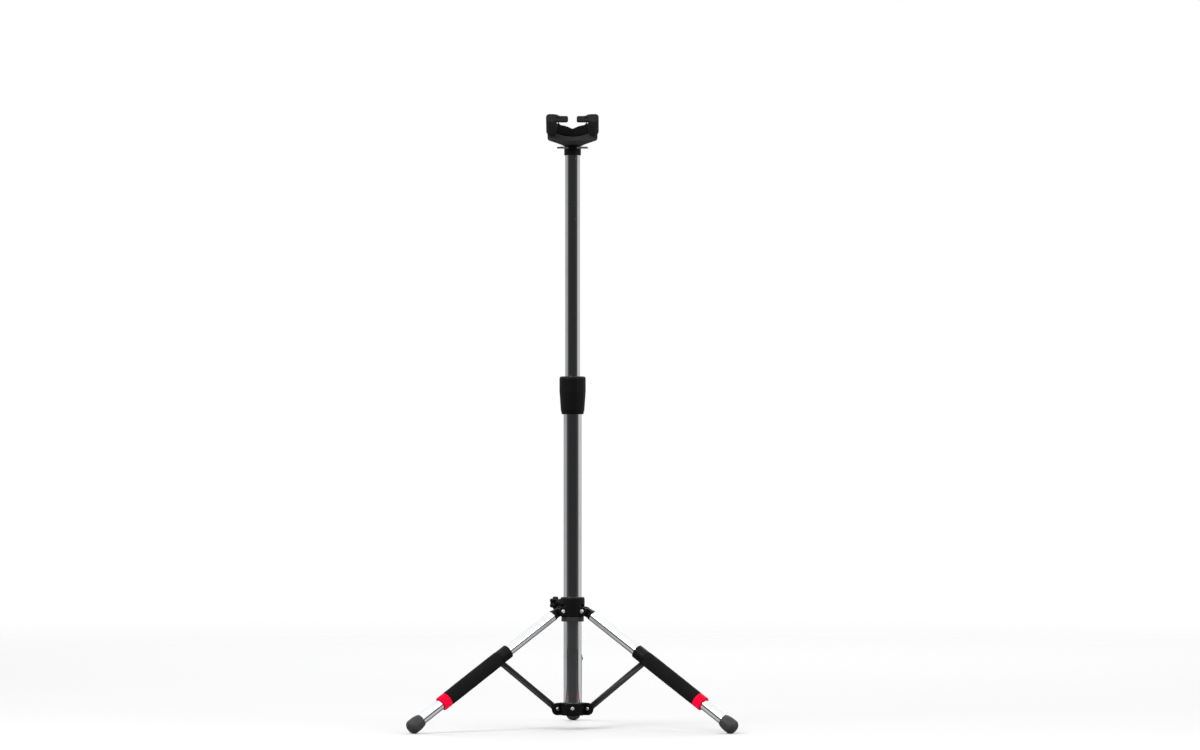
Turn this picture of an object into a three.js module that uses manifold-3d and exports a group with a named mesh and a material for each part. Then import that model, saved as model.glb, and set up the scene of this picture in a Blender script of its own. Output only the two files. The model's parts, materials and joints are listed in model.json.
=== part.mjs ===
// A folding floor stand: a spring-loaded yoke with two closing gates on a telescopic post, carried by three
// legs that fold up with braces and a sliding hub.
// Millimetres, +Z up, the post on the Z axis, the front of the stand towards -Y.
import * as THREE from "three";
import * as BufferGeometryUtils from "three/addons/utils/BufferGeometryUtils.js";
import Module from "manifold-3d";

const wasm = await Module();
wasm.setup();

// Driving sizes of the tripod. Angles are in degrees.
const braceLength = 154.2;
const braceAngle = 36.9;
const pivotRadius = 26;
const basePinHeight = 38;
const bracketDrop = 11;
const knuckleRise = 2.9;
const legTubeRadius = 10;
const leftLegAngle = 210;
const rightLegAngle = 330;
const rearLegAngle = 90;

// Driving sizes of the post and the yoke.
const mainTubeRadius = 17;
const mainTubeTop = 634;
const innerTubeRadius = 14;
const tubeOverlap = 136;
const yokeHeight = 1152;
const armSpacing = 78.9;
const armReach = 110;
const armTilt = 20;

// Walls, clearances and the overrun of cuts.
const tubeWall = 1.2;
const runningGap = 0.3;
const seatGap = 0.3;
const overrun = 1;

// Facet counts, and the size under which two vertices are one.
const roundSides = 20;
const pinSides = 8;
const cornerSteps = 3;
const mergeDistance = 0.001;

const radians = THREE.MathUtils.degToRad;
const degrees = THREE.MathUtils.radToDeg;

// The legs hang from pins on the sliding hub, straight above the brace pins of the base hub.
const legAngles = { left: leftLegAngle, right: rightLegAngle, rear: rearLegAngle };
const braceRise = braceLength * Math.sin(radians(braceAngle));
const hubPinHeight = basePinHeight + 2 * braceRise;
const legTilt = braceAngle - degrees(Math.asin((bracketDrop - knuckleRise) / braceLength));
const bracketReach = Math.sqrt(braceLength ** 2 - (bracketDrop - knuckleRise) ** 2);

// Finishes, with the colours of the photograph.
const finish = (color, roughness, metalness) =>
  new THREE.MeshStandardMaterial({ color, roughness, metalness });
const chrome = finish("#c9cbcd", 0.15, 1);
const blackPlastic = finish("#0a0a0b", 0.45, 0);
const blackSteel = finish("#242222", 0.35, 0.6);
const foam = finish("#1a1a1a", 0.95, 0);
const redPlastic = finish("#ff0a4a", 0.4, 0);
const rubber = finish("#353535", 0.8, 0);
const springSteel = finish("#8d8f92", 0.3, 1);

// One closed solid from a three.js geometry: shared vertices merged, slivers at a pole dropped.
function solid(geometry) {
  const bare = geometry.index ? geometry.toNonIndexed() : geometry.clone();
  bare.deleteAttribute("normal");
  bare.deleteAttribute("uv");
  const merged = BufferGeometryUtils.mergeVertices(bare, mergeDistance);
  const corners = merged.index.array;
  const kept = [];
  for (let i = 0; i < corners.length; i += 3) {
    const [a, b, c] = corners.slice(i, i + 3);
    if (a !== b && b !== c && c !== a) kept.push(a, b, c);
  }
  const mesh = new wasm.Mesh({
    numProp: 3,
    vertProperties: new Float32Array(merged.attributes.position.array),
    triVerts: new Uint32Array(kept),
  });
  return new wasm.Manifold(mesh);
}

function joined(...pieces) {
  return pieces.map(solidOf).reduce((whole, piece) => whole.add(piece));
}

function cut(piece, ...tools) {
  return tools.map(solidOf).reduce((whole, tool) => whole.subtract(tool), solidOf(piece));
}

function common(...pieces) {
  return pieces.map(solidOf).reduce((whole, piece) => whole.intersect(piece));
}

function solidOf(piece) {
  return piece.isBufferGeometry ? solid(piece) : piece;
}

// A named mesh from a geometry or a solid.
function node(name, piece, material, parent) {
  let geometry = piece;
  if (!piece.isBufferGeometry) {
    const { vertProperties, triVerts } = piece.getMesh();
    geometry = new THREE.BufferGeometry();
    geometry.setAttribute("position", new THREE.BufferAttribute(vertProperties, 3));
    geometry.setIndex(new THREE.BufferAttribute(triVerts, 1));
    geometry.computeVertexNormals();
  }
  const mesh = new THREE.Mesh(geometry, material);
  mesh.name = name;
  parent.add(mesh);
  return mesh;
}

// A body turned about the Z axis from a profile of [radius, height] points, closed on itself.
function turned(profile, sides = roundSides) {
  const points = profile.map(([radius, height]) => new THREE.Vector2(radius, height));
  if (profile[0][0] > 0 || profile.at(-1)[0] > 0) points.push(points[0].clone());
  const made = new THREE.LatheGeometry(points, sides).rotateX(Math.PI / 2);
  return solid(made).volume() < 0 ? flipped(made) : made;
}

function flipped(geometry) {
  const indices = geometry.index.array;
  for (let i = 0; i < indices.length; i += 3) {
    [indices[i], indices[i + 1]] = [indices[i + 1], indices[i]];
  }
  return geometry;
}

function ring(inner, outer, low, high, sides = roundSides) {
  return turned([[inner, low], [outer, low], [outer, high], [inner, high]], sides);
}

function rod(radius, low, high, sides = pinSides) {
  return turned([[0, low], [radius, low], [radius, high], [0, high]], sides);
}

// Points of a quarter circle, from one angle to another, for a turned profile.
function arc(centre, radius, from = 0, to = 90, steps = cornerSteps) {
  return Array.from({ length: steps + 1 }, (_, i) => {
    const angle = radians(from + ((to - from) * i) / steps);
    return [centre[0] + radius * Math.cos(angle), centre[1] + radius * Math.sin(angle)];
  });
}

const alongX = (geometry) => geometry.rotateY(Math.PI / 2);
const alongY = (geometry) => geometry.rotateX(Math.PI / 2);

// An outline in the XZ plane, as thick as from low to high along Y.
function slab(shape, low, high, rounding = 0) {
  const settings = {
    depth: high - low - 2 * rounding,
    bevelEnabled: rounding > 0,
    bevelSize: rounding,
    bevelThickness: rounding,
    bevelOffset: -rounding,
    bevelSegments: 1,
    curveSegments: 4,
  };
  return new THREE.ExtrudeGeometry(shape, settings)
    .rotateX(Math.PI / 2)
    .translate(0, high - rounding, 0);
}

function block(xs, ys, zs) {
  const size = [xs, ys, zs].map(([low, high]) => high - low);
  const middle = [xs, ys, zs].map(([low, high]) => (low + high) / 2);
  return new THREE.BoxGeometry(...size).translate(...middle);
}

function roundedBox(left, right, bottom, top, corner) {
  const shape = new THREE.Shape();
  shape.absarc(right - corner, bottom + corner, corner, -Math.PI / 2, 0);
  shape.absarc(right - corner, top - corner, corner, 0, Math.PI / 2);
  shape.absarc(left + corner, top - corner, corner, Math.PI / 2, Math.PI);
  shape.absarc(left + corner, bottom + corner, corner, Math.PI, (3 * Math.PI) / 2);
  shape.closePath();
  return shape;
}

// A bar from one centre to the other with round ends, in the plane of a shape.
function link(length, radius, start = 0) {
  const shape = new THREE.Shape();
  shape.absarc(start + length, 0, radius, -Math.PI / 2, Math.PI / 2);
  shape.absarc(start, 0, radius, Math.PI / 2, (3 * Math.PI) / 2);
  shape.closePath();
  return shape;
}

// A rivet along Y from one head to the other, with domed heads.
function rivet(shank, head, headHeight, low, high) {
  const dome = headHeight / 2;
  const profile = [
    [0, low - headHeight],
    [head - dome, low - headHeight],
    [head, low - headHeight + dome],
    [head, low],
    [shank, low],
    [shank, high],
    [head, high],
    [head, high + headHeight - dome],
    [head - dome, high + headHeight],
    [0, high + headHeight],
  ];
  return alongY(turned(profile, pinSides));
}

const stand = new THREE.Group();

// Base hub: one moulding on the foot of the post, with a pair of ears for each brace.
const baseHub = {
  ringRadius: 22,
  earRadius: 12,
  earInner: 11.5,
  earWall: 3,
  farEarRadius: 5.6,
  bossWidth: 28,
  bossReach: 26,
  bossHeight: 24.2,
  bossDrop: 0.5,
  bossCorner: 4,
  bossRounding: 1.5,
  webStart: 8,
  webEnd: 19.3,
};
const braceThickness = 2.5;
const braceWidth = 11.6;
const slotGap = 0.25;
const braceInner = baseHub.earInner + baseHub.earWall + slotGap;
const braceOuter = braceInner + braceThickness;
const farEarInner = braceOuter + slotGap;
const farEarOuter = farEarInner + baseHub.earWall;
const pinRadius = 2.6;
const pinHeadRadius = 3.6;
const pinHeadHeight = 1.8;
const braceSides = { left: -1, right: 1, rear: -1 };

// A slab between two distances across the plane of a leg, on the side where its brace lies.
function besideLeg(shape, side, inner, outer, rounding = 0) {
  return side > 0 ? slab(shape, inner, outer, rounding) : slab(shape, -outer, -inner, rounding);
}

const hubBottom = basePinHeight - baseHub.earRadius;
const hubTop = basePinHeight + baseHub.earRadius;

function baseHubEars(name) {
  const side = braceSides[name];
  const near = besideLeg(
    link(pivotRadius - baseHub.webStart, baseHub.earRadius, baseHub.webStart - pivotRadius),
    side,
    baseHub.earInner,
    baseHub.earInner + baseHub.earWall,
  );
  const far = besideLeg(
    link(pivotRadius - baseHub.webStart, baseHub.farEarRadius, baseHub.webStart - pivotRadius),
    side,
    farEarInner,
    farEarOuter,
  );
  const web = besideLeg(
    roundedBox(
      baseHub.webStart - pivotRadius - baseHub.earWall,
      baseHub.webEnd - pivotRadius,
      -baseHub.earRadius,
      baseHub.earRadius,
      baseHub.earWall,
    ),
    side,
    baseHub.earInner,
    farEarOuter,
  );
  const hole = alongY(rod(pinRadius + runningGap, -farEarOuter - overrun, farEarOuter + overrun));
  const ears = cut(joined(near, far, web), hole);
  return ears
    .translate([pivotRadius, 0, basePinHeight])
    .rotate([0, 0, legAngles[name]]);
}

const plugFlange = 2.5;
const bossBottom = basePinHeight - baseHub.bossDrop - baseHub.bossHeight / 2;
const baseBoss = slab(
  roundedBox(
    -baseHub.bossWidth / 2,
    baseHub.bossWidth / 2,
    bossBottom,
    bossBottom + baseHub.bossHeight,
    baseHub.bossCorner,
  ),
  -baseHub.bossReach,
  0,
  baseHub.bossRounding,
);
const frontRivetHeight = bossBottom + baseHub.bossHeight / 2 + pinHeadHeight;
const frontRivetHole = alongY(
  rod(pinRadius + runningGap, mainTubeRadius - overrun, baseHub.bossReach + overrun),
).translate(0, 0, frontRivetHeight);
node(
  "base_hub",
  cut(
    joined(
      ring(mainTubeRadius - overrun, baseHub.ringRadius, hubBottom, hubTop),
      baseBoss,
      ...Object.keys(legAngles).map(baseHubEars),
    ),
    rod(mainTubeRadius + runningGap, bossBottom - overrun, hubTop + baseHub.earRadius, roundSides),
    frontRivetHole,
  ),
  blackPlastic,
  stand,
);

// The rivet through the front boss, which holds the hub to the post.
const frontRivet = turned(
  [
    [0, mainTubeRadius + seatGap],
    [pinRadius, mainTubeRadius + seatGap],
    [pinRadius, baseHub.bossReach + seatGap],
    [pinHeadRadius, baseHub.bossReach + seatGap],
    [pinHeadRadius, baseHub.bossReach + seatGap + pinHeadHeight / 2],
    [pinHeadRadius - pinHeadHeight / 2, baseHub.bossReach + seatGap + pinHeadHeight],
    [0, baseHub.bossReach + seatGap + pinHeadHeight],
  ],
  pinSides,
);
node("hub_rivet", alongY(frontRivet).translate(0, 0, frontRivetHeight), chrome, stand);

// Main tube of the post, with a plug in its lower end and a stop ring under the sliding hub.
const plugSpigot = 12;
const plugBottom = hubBottom - runningGap;
const mainTubeBottom = plugBottom + plugFlange + seatGap;
const mainBore = mainTubeRadius - tubeWall;
node(
  "main_tube",
  ring(mainBore, mainTubeRadius, mainTubeBottom, mainTubeTop),
  chrome,
  stand,
);
node(
  "base_plug",
  turned([
    [0, plugBottom],
    [mainTubeRadius - runningGap, plugBottom],
    [mainTubeRadius - runningGap, plugBottom + plugFlange],
    [mainBore - runningGap, plugBottom + plugFlange],
    [mainBore - runningGap, plugBottom + plugFlange + plugSpigot],
    [0, plugBottom + plugFlange + plugSpigot],
  ]),
  blackPlastic,
  stand,
);

// Sliding hub: a ring that runs on the post, with a clevis for each leg and a boss for its lock knob.
const legHub = {
  ringRadius: 23,
  below: 10,
  above: 27,
  rimRounding: 3,
  earRadius: 9,
  earInner: 4.8,
  earWall: 4.5,
  slotFloor: 18.6,
  slotAbove: 13,
  bossRadius: 8.5,
  bossEnd: 29,
  bossRise: 15,
};
const knobAzimuth = 150;
const legPinRadius = 3;
const legPinHeadRadius = 4;
const screwRadius = 3;
const hubBore = mainTubeRadius + runningGap + slotGap / 2;
const hubLow = hubPinHeight - legHub.below;
const hubHigh = hubPinHeight + legHub.above;
const knobHeight = hubPinHeight + legHub.bossRise;

function hubClevis(name) {
  const outer = legHub.earInner + legHub.earWall;
  const ears = slab(
    link(pivotRadius - legHub.slotFloor, legHub.earRadius, legHub.slotFloor - pivotRadius),
    -outer,
    outer,
  );
  return solid(ears)
    .translate([pivotRadius, 0, hubPinHeight])
    .rotate([0, 0, legAngles[name]]);
}

function hubSlot(name) {
  const far = pivotRadius + legHub.earRadius + overrun;
  const slot = block(
    [legHub.slotFloor, far],
    [-legHub.earInner, legHub.earInner],
    [hubLow - overrun, hubPinHeight + legHub.slotAbove],
  );
  const reach = legHub.earInner + legHub.earWall + overrun;
  const hole = alongY(rod(legPinRadius + runningGap, -reach, reach)).translate(pivotRadius, 0, hubPinHeight);
  return joined(slot, hole).rotate([0, 0, legAngles[name]]);
}

const hubProfile = [
  [hubBore - overrun, hubLow],
  [legHub.ringRadius, hubLow],
  ...arc([legHub.ringRadius - legHub.rimRounding, hubHigh - legHub.rimRounding], legHub.rimRounding),
  [hubBore - overrun, hubHigh],
];
const towardsKnob = (piece) => solidOf(piece).translate([0, 0, knobHeight]).rotate([0, 0, knobAzimuth]);
const names = Object.keys(legAngles);
node(
  "leg_hub",
  cut(
    joined(
      turned(hubProfile),
      ...names.map(hubClevis),
      towardsKnob(alongX(rod(legHub.bossRadius, mainTubeRadius, legHub.bossEnd, roundSides))),
    ),
    ring(0, hubBore, hubLow - overrun, hubHigh + overrun),
    ...names.map(hubSlot),
    towardsKnob(alongX(rod(screwRadius + runningGap, 0, legHub.bossEnd + overrun))),
  ),
  blackPlastic,
  stand,
);

// Stop ring under the sliding hub: it takes the load of the spread legs.
const stopRingHeight = 9;
const stopRingWall = 4;
const stopScrewRadius = 2;
const stopTop = hubLow - seatGap;
node(
  "stop_ring",
  cut(
    ring(
      mainTubeRadius + seatGap,
      mainTubeRadius + seatGap + stopRingWall,
      stopTop - stopRingHeight,
      stopTop,
    ),
    alongY(rod(stopScrewRadius, 0, mainTubeRadius + 2 * stopRingWall))
      .translate(0, 0, stopTop - stopRingHeight / 2),
  ),
  blackSteel,
  stand,
);

// Lock knob of the sliding hub: five lobes moulded on a steel screw that presses on the post.
const knob = {
  radius: 13,
  lobes: 5,
  lobeSteps: 5,
  lobeRadius: 5,
  thickness: 12,
  neckRadius: 7,
  neckLength: 4,
  rounding: 2,
};
const knobGroup = new THREE.Group();
knobGroup.rotation.z = radians(knobAzimuth);
knobGroup.position.z = knobHeight;
stand.add(knobGroup);

function knobOutline() {
  const shape = new THREE.Shape();
  const steps = knob.lobes * knob.lobeSteps;
  const wave = knob.lobeRadius / 2;
  for (let i = 0; i < steps; i += 1) {
    const angle = (2 * Math.PI * i) / steps;
    const radius = knob.radius - wave + wave * Math.cos(knob.lobes * angle);
    if (i === 0) shape.moveTo(radius, 0);
    else shape.lineTo(radius * Math.cos(angle), radius * Math.sin(angle));
  }
  shape.closePath();
  return shape;
}

const knobStart = legHub.bossEnd + seatGap;
const knobFace = knobStart + knob.neckLength;
const knobGrip = slab(knobOutline(), 0, knob.thickness, knob.rounding).rotateZ(-Math.PI / 2);
const knobNeck = alongX(rod(knob.neckRadius, knobStart, knobFace + overrun, roundSides));
const screwEnd = knobFace + knob.thickness / 2;
node(
  "hub_knob",
  cut(
    joined(knobGrip.translate(knobFace, 0, 0), knobNeck),
    alongX(rod(screwRadius + runningGap, knobStart - overrun, screwEnd + seatGap)),
  ),
  blackPlastic,
  knobGroup,
);
node(
  "knob_screw",
  alongX(rod(screwRadius, mainTubeRadius + seatGap, screwEnd)),
  chrome,
  knobGroup,
);

// Legs. Each leg's group has its origin at the hub's pin and X along the tube, out and down.
const knuckle = { eyeRadius: 7, tongueDepth: 8, shoulder: 16, tubeStart: 20, spigotEnd: 40 };
const bracket = {
  length: 24,
  wall: 3.2,
  pinToEnd: 5,
  lugLength: 14,
  lugCorner: 4,
  lugFace: 14.4,
  holeDepth: 6,
  headRadius: 6,
};
const grip = { radius: 14.2, length: 132, rounding: 2 };
const stopCollar = { radius: 14, length: 17.5, mouth: 11, mouthDepth: 4, rounding: 1.5 };
const foot = {
  length: 31.6,
  radius: 14.3,
  neckRadius: 11.7,
  corner: 9,
  shoulder: 9,
  socket: 20,
  flat: 0.5,
};

// The tube is as long as it takes for the foot's lower edge to meet the floor.
const cornerDrop = (foot.radius - foot.corner) * Math.cos(radians(legTilt)) + foot.corner - foot.flat;
const cornerReach = (hubPinHeight + knuckleRise * Math.cos(radians(legTilt)) - cornerDrop)
  / Math.sin(radians(legTilt));
const footEnd = cornerReach + foot.corner;
const footStart = footEnd - foot.length;
const tubeEnd = footStart + foot.socket;
const bracketEnd = bracketReach + bracket.pinToEnd;
const bracketStart = bracketEnd - bracket.length;
const gripStart = bracketEnd + seatGap;
const gripEnd = gripStart + grip.length;
const ringStart = gripEnd + seatGap;
const ringEnd = ringStart + stopCollar.length;
const sleeveBore = legTubeRadius + runningGap;
const legBore = legTubeRadius - tubeWall;

function knuckleSolid() {
  const tongue = new THREE.Shape();
  tongue.absarc(0, 0, knuckle.eyeRadius, Math.PI / 2, (3 * Math.PI) / 2);
  tongue.lineTo(knuckle.shoulder, knuckleRise - knuckle.tongueDepth);
  tongue.lineTo(knuckle.shoulder, knuckleRise + knuckle.tongueDepth);
  tongue.lineTo(knuckle.eyeRadius, knuckleRise + knuckle.tongueDepth);
  tongue.closePath();
  const half = legHub.earInner - runningGap;
  const stub = turned([
    [0, knuckle.shoulder - overrun],
    [legTubeRadius, knuckle.shoulder - overrun],
    [legTubeRadius, knuckle.tubeStart - seatGap],
    [legBore - runningGap, knuckle.tubeStart - seatGap],
    [legBore - runningGap, knuckle.spigotEnd],
    [0, knuckle.spigotEnd],
  ]);
  const eye = alongY(rod(legPinRadius + runningGap, -half - overrun, half + overrun));
  return cut(joined(slab(tongue, -half, half), alongX(stub).translate(0, 0, knuckleRise)), eye);
}

function bracketSolid(side) {
  const collar = alongX(ring(legTubeRadius, sleeveBore + bracket.wall, bracketStart, bracketEnd));
  const lugOutline = roundedBox(
    bracketEnd - bracket.lugLength,
    bracketEnd,
    -bracketDrop - bracket.pinToEnd,
    0,
    bracket.lugCorner,
  );
  const lug = besideLeg(lugOutline, side, legTubeRadius / 2, bracket.lugFace);
  const holeFloor = bracket.lugFace - bracket.holeDepth;
  const hole = alongY(rod(pinRadius + runningGap, holeFloor, bracket.lugFace + overrun));
  const bore = alongX(rod(sleeveBore, bracketStart - overrun, bracketEnd + overrun, roundSides));
  const holeHere = side > 0 ? hole.rotateZ(Math.PI) : hole;
  return cut(joined(collar, lug), bore, holeHere.translate(bracketReach, 0, -bracketDrop));
}

// The rivet's head lies on the outside of the brace, and its shank ends in the bracket's boss.
function bracketRivet(side) {
  const shankEnd = bracket.lugFace - bracket.holeDepth + seatGap;
  const headStart = braceOuter + seatGap;
  const profile = [
    [0, shankEnd],
    [pinRadius, shankEnd],
    [pinRadius, headStart],
    [bracket.headRadius, headStart],
    [bracket.headRadius, headStart + pinHeadHeight / 2],
    [pinHeadRadius, headStart + pinHeadHeight],
    [0, headStart + pinHeadHeight],
  ];
  const made = alongY(turned(profile, pinSides));
  return side > 0 ? made.rotateZ(Math.PI) : made;
}

function gripSolid() {
  const corners = (end, from, to) => arc([grip.radius - grip.rounding, end], grip.rounding, from, to, 1);
  return turned([
    [sleeveBore, gripStart],
    ...corners(gripStart + grip.rounding, -90, 0),
    ...corners(gripEnd - grip.rounding, 0, 90),
    [sleeveBore, gripEnd],
  ]);
}

function ringSolid() {
  const corners = (end, from, to) =>
    arc([stopCollar.radius - stopCollar.rounding, end], stopCollar.rounding, from, to, 1);
  return turned([
    [sleeveBore, ringStart],
    ...corners(ringStart + stopCollar.rounding, -90, 0),
    ...corners(ringEnd - stopCollar.rounding, 0, 90),
    [stopCollar.mouth, ringEnd],
    [stopCollar.mouth, ringEnd - stopCollar.mouthDepth],
    [sleeveBore, ringEnd - stopCollar.mouthDepth],
  ]);
}

// Rubber foot: a socket for the tube, a flared shoulder and a round nose, cut flat where it stands.
function footSolid() {
  const nose = arc([foot.radius - foot.corner, footEnd - foot.corner], foot.corner);
  const body = turned([
    [sleeveBore, footStart],
    [foot.neckRadius, footStart],
    [foot.radius, footStart + foot.shoulder],
    ...nose,
    [0, footEnd],
    [0, tubeEnd + seatGap],
    [sleeveBore, tubeEnd + seatGap],
  ]);
  const placed = solid(alongX(body))
    .translate([0, 0, knuckleRise])
    .rotate([0, legTilt, 0])
    .translate([0, 0, hubPinHeight]);
  const below = block([0, 2 * footEnd], [-footEnd, footEnd], [-footEnd, 0]);
  return cut(placed, below)
    .translate([0, 0, -hubPinHeight])
    .rotate([0, -legTilt, 0])
    .translate([0, 0, -knuckleRise]);
}

function braceSolid(side) {
  const strip = besideLeg(link(braceLength, braceWidth / 2), side, braceInner, braceOuter);
  const hole = alongY(rod(pinRadius + runningGap, -braceOuter - overrun, braceOuter + overrun));
  return cut(strip, hole, hole.clone().translate(braceLength, 0, 0));
}

for (const name of names) {
  const side = braceSides[name];
  const plane = new THREE.Group();
  plane.rotation.z = radians(legAngles[name]);
  stand.add(plane);

  const leg = new THREE.Group();
  leg.position.set(pivotRadius, 0, hubPinHeight);
  leg.rotation.y = radians(legTilt);
  plane.add(leg);
  const tube = new THREE.Group();
  tube.position.z = knuckleRise;
  leg.add(tube);

  node(`leg_knuckle_${name}`, knuckleSolid(), blackPlastic, leg);
  node(`leg_tube_${name}`, alongX(ring(legBore, legTubeRadius, knuckle.tubeStart, tubeEnd)), chrome, tube);
  node(`brace_bracket_${name}`, bracketSolid(side), blackPlastic, tube);
  const head = bracketRivet(side).translate(bracketReach, 0, -bracketDrop);
  node(`bracket_rivet_${name}`, head, chrome, tube);
  node(`foot_${name}`, footSolid(), rubber, tube);
  if (name !== "rear") {
    node(`leg_grip_${name}`, alongX(gripSolid()), foam, tube);
    node(`leg_ring_${name}`, alongX(ringSolid()), redPlastic, tube);
  }

  // The pin in the sliding hub's clevis.
  const clevis = legHub.earInner + legHub.earWall + seatGap;
  const hubPin = rivet(legPinRadius, legPinHeadRadius, pinHeadHeight, -clevis, clevis);
  node(`leg_pin_${name}`, hubPin.translate(pivotRadius, 0, hubPinHeight), chrome, plane);

  // The brace and its pin in the base hub.
  const brace = new THREE.Group();
  brace.position.set(pivotRadius, 0, basePinHeight);
  brace.rotation.y = -radians(braceAngle);
  plane.add(brace);
  node(`brace_${name}`, braceSolid(side), blackSteel, brace);
  const near = baseHub.earInner - seatGap;
  const far = farEarOuter + seatGap;
  const basePin = side > 0
    ? rivet(pinRadius, pinHeadRadius, pinHeadHeight, -far, -near)
    : rivet(pinRadius, pinHeadRadius, pinHeadHeight, near, far);
  node(`brace_pin_${name}`, basePin.translate(pivotRadius, 0, basePinHeight), chrome, plane);
}

// Height clutch on top of the main tube: a housing with a tilting grip plate round the inner tube,
// held down by a spring, and a lever at the back that lifts the plate's rear edge.
const clutch = {
  below: 38,
  rise: 34,
  footRadius: 20.5,
  footTaper: 8,
  radius: 25,
  belly: 6,
  cornerHeight: 4,
  chamberRadius: 21,
  floor: 7,
  roof: 5,
};
const lever = {
  pivotReach: 31,
  pivotDrop: 13,
  pinRadius: 2.5,
  earRadius: 6,
  earInner: 6.3,
  earWall: 3.5,
  hubRadius: 5.5,
  noseLength: 12,
  noseDrop: 3,
  noseHeight: 4,
  kneeReach: 46,
  kneeDrop: 26,
  tipReach: 50,
  tipDrop: 88,
  thickness: 7,
  width: 20,
  paddleDrop: 14.5,
  rounding: 2,
};
const plate = { radius: 19, thickness: 3, tilt: 3.5, bore: 0.4 };
const bushLength = 24;
const clutchBottom = mainTubeTop - clutch.below;
const clutchTop = mainTubeTop + clutch.rise;
const chamberFloor = mainTubeTop + clutch.floor;
const chamberRoof = clutchTop - clutch.roof;
const innerPass = innerTubeRadius + 2 * runningGap;
const pivotHeight = clutchTop - lever.pivotDrop;
const inYZ = (shape, low, high, rounding) =>
  slab(shape, low, high, rounding).rotateZ(Math.PI / 2);

const clutchShell = turned([
  [mainTubeRadius + runningGap, clutchBottom],
  [clutch.footRadius, clutchBottom],
  [clutch.footRadius + clutch.cornerHeight / 2, clutchBottom + clutch.footTaper],
  [clutch.radius, mainTubeTop + clutch.belly],
  ...arc([clutch.radius - clutch.cornerHeight, clutchTop - clutch.cornerHeight], clutch.cornerHeight),
  [innerPass, clutchTop],
  [innerPass, chamberRoof],
  [clutch.chamberRadius, chamberRoof],
  [clutch.chamberRadius, chamberFloor],
  [innerPass, chamberFloor],
  [innerPass, mainTubeTop + seatGap],
  [mainTubeRadius + runningGap, mainTubeTop + seatGap],
]);

function leverEar() {
  const shape = new THREE.Shape();
  shape.absarc(lever.pivotReach, pivotHeight, lever.earRadius, -Math.PI / 2, Math.PI / 2);
  shape.lineTo(clutch.chamberRadius + tubeWall, pivotHeight + lever.earRadius);
  shape.lineTo(clutch.chamberRadius + tubeWall, pivotHeight - 2 * lever.earRadius);
  shape.closePath();
  return shape;
}

const earOuter = lever.earInner + lever.earWall;
const pivotHole = alongX(rod(lever.pinRadius + runningGap, -earOuter - overrun, earOuter + overrun));
const noseWindow = block(
  [-lever.earInner, lever.earInner],
  [innerTubeRadius, clutch.radius + overrun],
  [chamberFloor, chamberRoof],
);
node(
  "clutch_body",
  cut(
    joined(
      clutchShell,
      inYZ(leverEar(), -earOuter, -lever.earInner, 0),
      inYZ(leverEar(), lever.earInner, earOuter, 0),
    ),
    pivotHole.clone().translate(0, lever.pivotReach, pivotHeight),
    noseWindow,
  ),
  blackPlastic,
  stand,
);
node(
  "clutch_bush",
  ring(innerTubeRadius + runningGap, mainBore - runningGap, mainTubeTop - bushLength, mainTubeTop),
  rubber,
  stand,
);

// The grip plate hinges on the front of the chamber's floor and grips while its rear edge is down.
const plateHinge = chamberFloor + plate.thickness + lever.noseHeight;
const plateGroup = new THREE.Group();
plateGroup.position.set(0, -plate.radius, plateHinge);
plateGroup.rotation.x = -radians(plate.tilt);
stand.add(plateGroup);
const plateBore = innerTubeRadius + plate.bore;
node(
  "grip_plate",
  solid(ring(plateBore, plate.radius, 0, plate.thickness)).translate([0, plate.radius, 0]),
  blackSteel,
  plateGroup,
);

// A round wire along a helix.
class Helix extends THREE.Curve {
  constructor(radius, low, high, turns) {
    super();
    Object.assign(this, { radius, low, high, turns });
  }

  getPoint(share, target = new THREE.Vector3()) {
    const angle = 2 * Math.PI * this.turns * share;
    const height = this.low + (this.high - this.low) * share;
    return target.set(this.radius * Math.cos(angle), this.radius * Math.sin(angle), height);
  }
}

function coil(radius, wire, low, high, turns) {
  const section = new THREE.Shape();
  section.absarc(0, 0, wire, 0, 2 * Math.PI);
  return new THREE.ExtrudeGeometry(section, {
    steps: turns * coilSteps,
    curveSegments: 2,
    bevelEnabled: false,
    extrudePath: new Helix(radius, low + wire, high - wire, turns),
  });
}

const coilSteps = 8;
const gripSpring = { wire: 0.6, turns: 3 };
const gripSpringRadius = (plateBore + clutch.chamberRadius) / 2 - gripSpring.wire;
node(
  "grip_spring",
  coil(
    gripSpringRadius,
    gripSpring.wire,
    plateHinge + plate.thickness + seatGap,
    chamberRoof - seatGap,
    gripSpring.turns,
  ),
  springSteel,
  stand,
);

function leverOutline() {
  const shape = new THREE.Shape();
  const half = lever.thickness / 2;
  shape.moveTo(-lever.noseLength, -lever.noseDrop);
  shape.lineTo(-lever.noseLength, -lever.noseDrop + lever.noseHeight);
  shape.lineTo(-lever.hubRadius, lever.hubRadius / 2);
  shape.absarc(0, 0, lever.hubRadius, (5 * Math.PI) / 6, 0, true);
  const knee = lever.kneeReach - lever.pivotReach;
  const tip = lever.tipReach - lever.pivotReach;
  shape.quadraticCurveTo(knee + half, -lever.kneeDrop / 2, knee + half, -lever.kneeDrop);
  shape.lineTo(tip + half, -lever.tipDrop);
  shape.absarc(tip, -lever.tipDrop, half, 0, -Math.PI, true);
  shape.lineTo(knee - half, -lever.kneeDrop);
  shape.quadraticCurveTo(knee - half, -lever.kneeDrop / 2, 0, -lever.hubRadius);
  shape.closePath();
  return shape;
}

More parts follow.
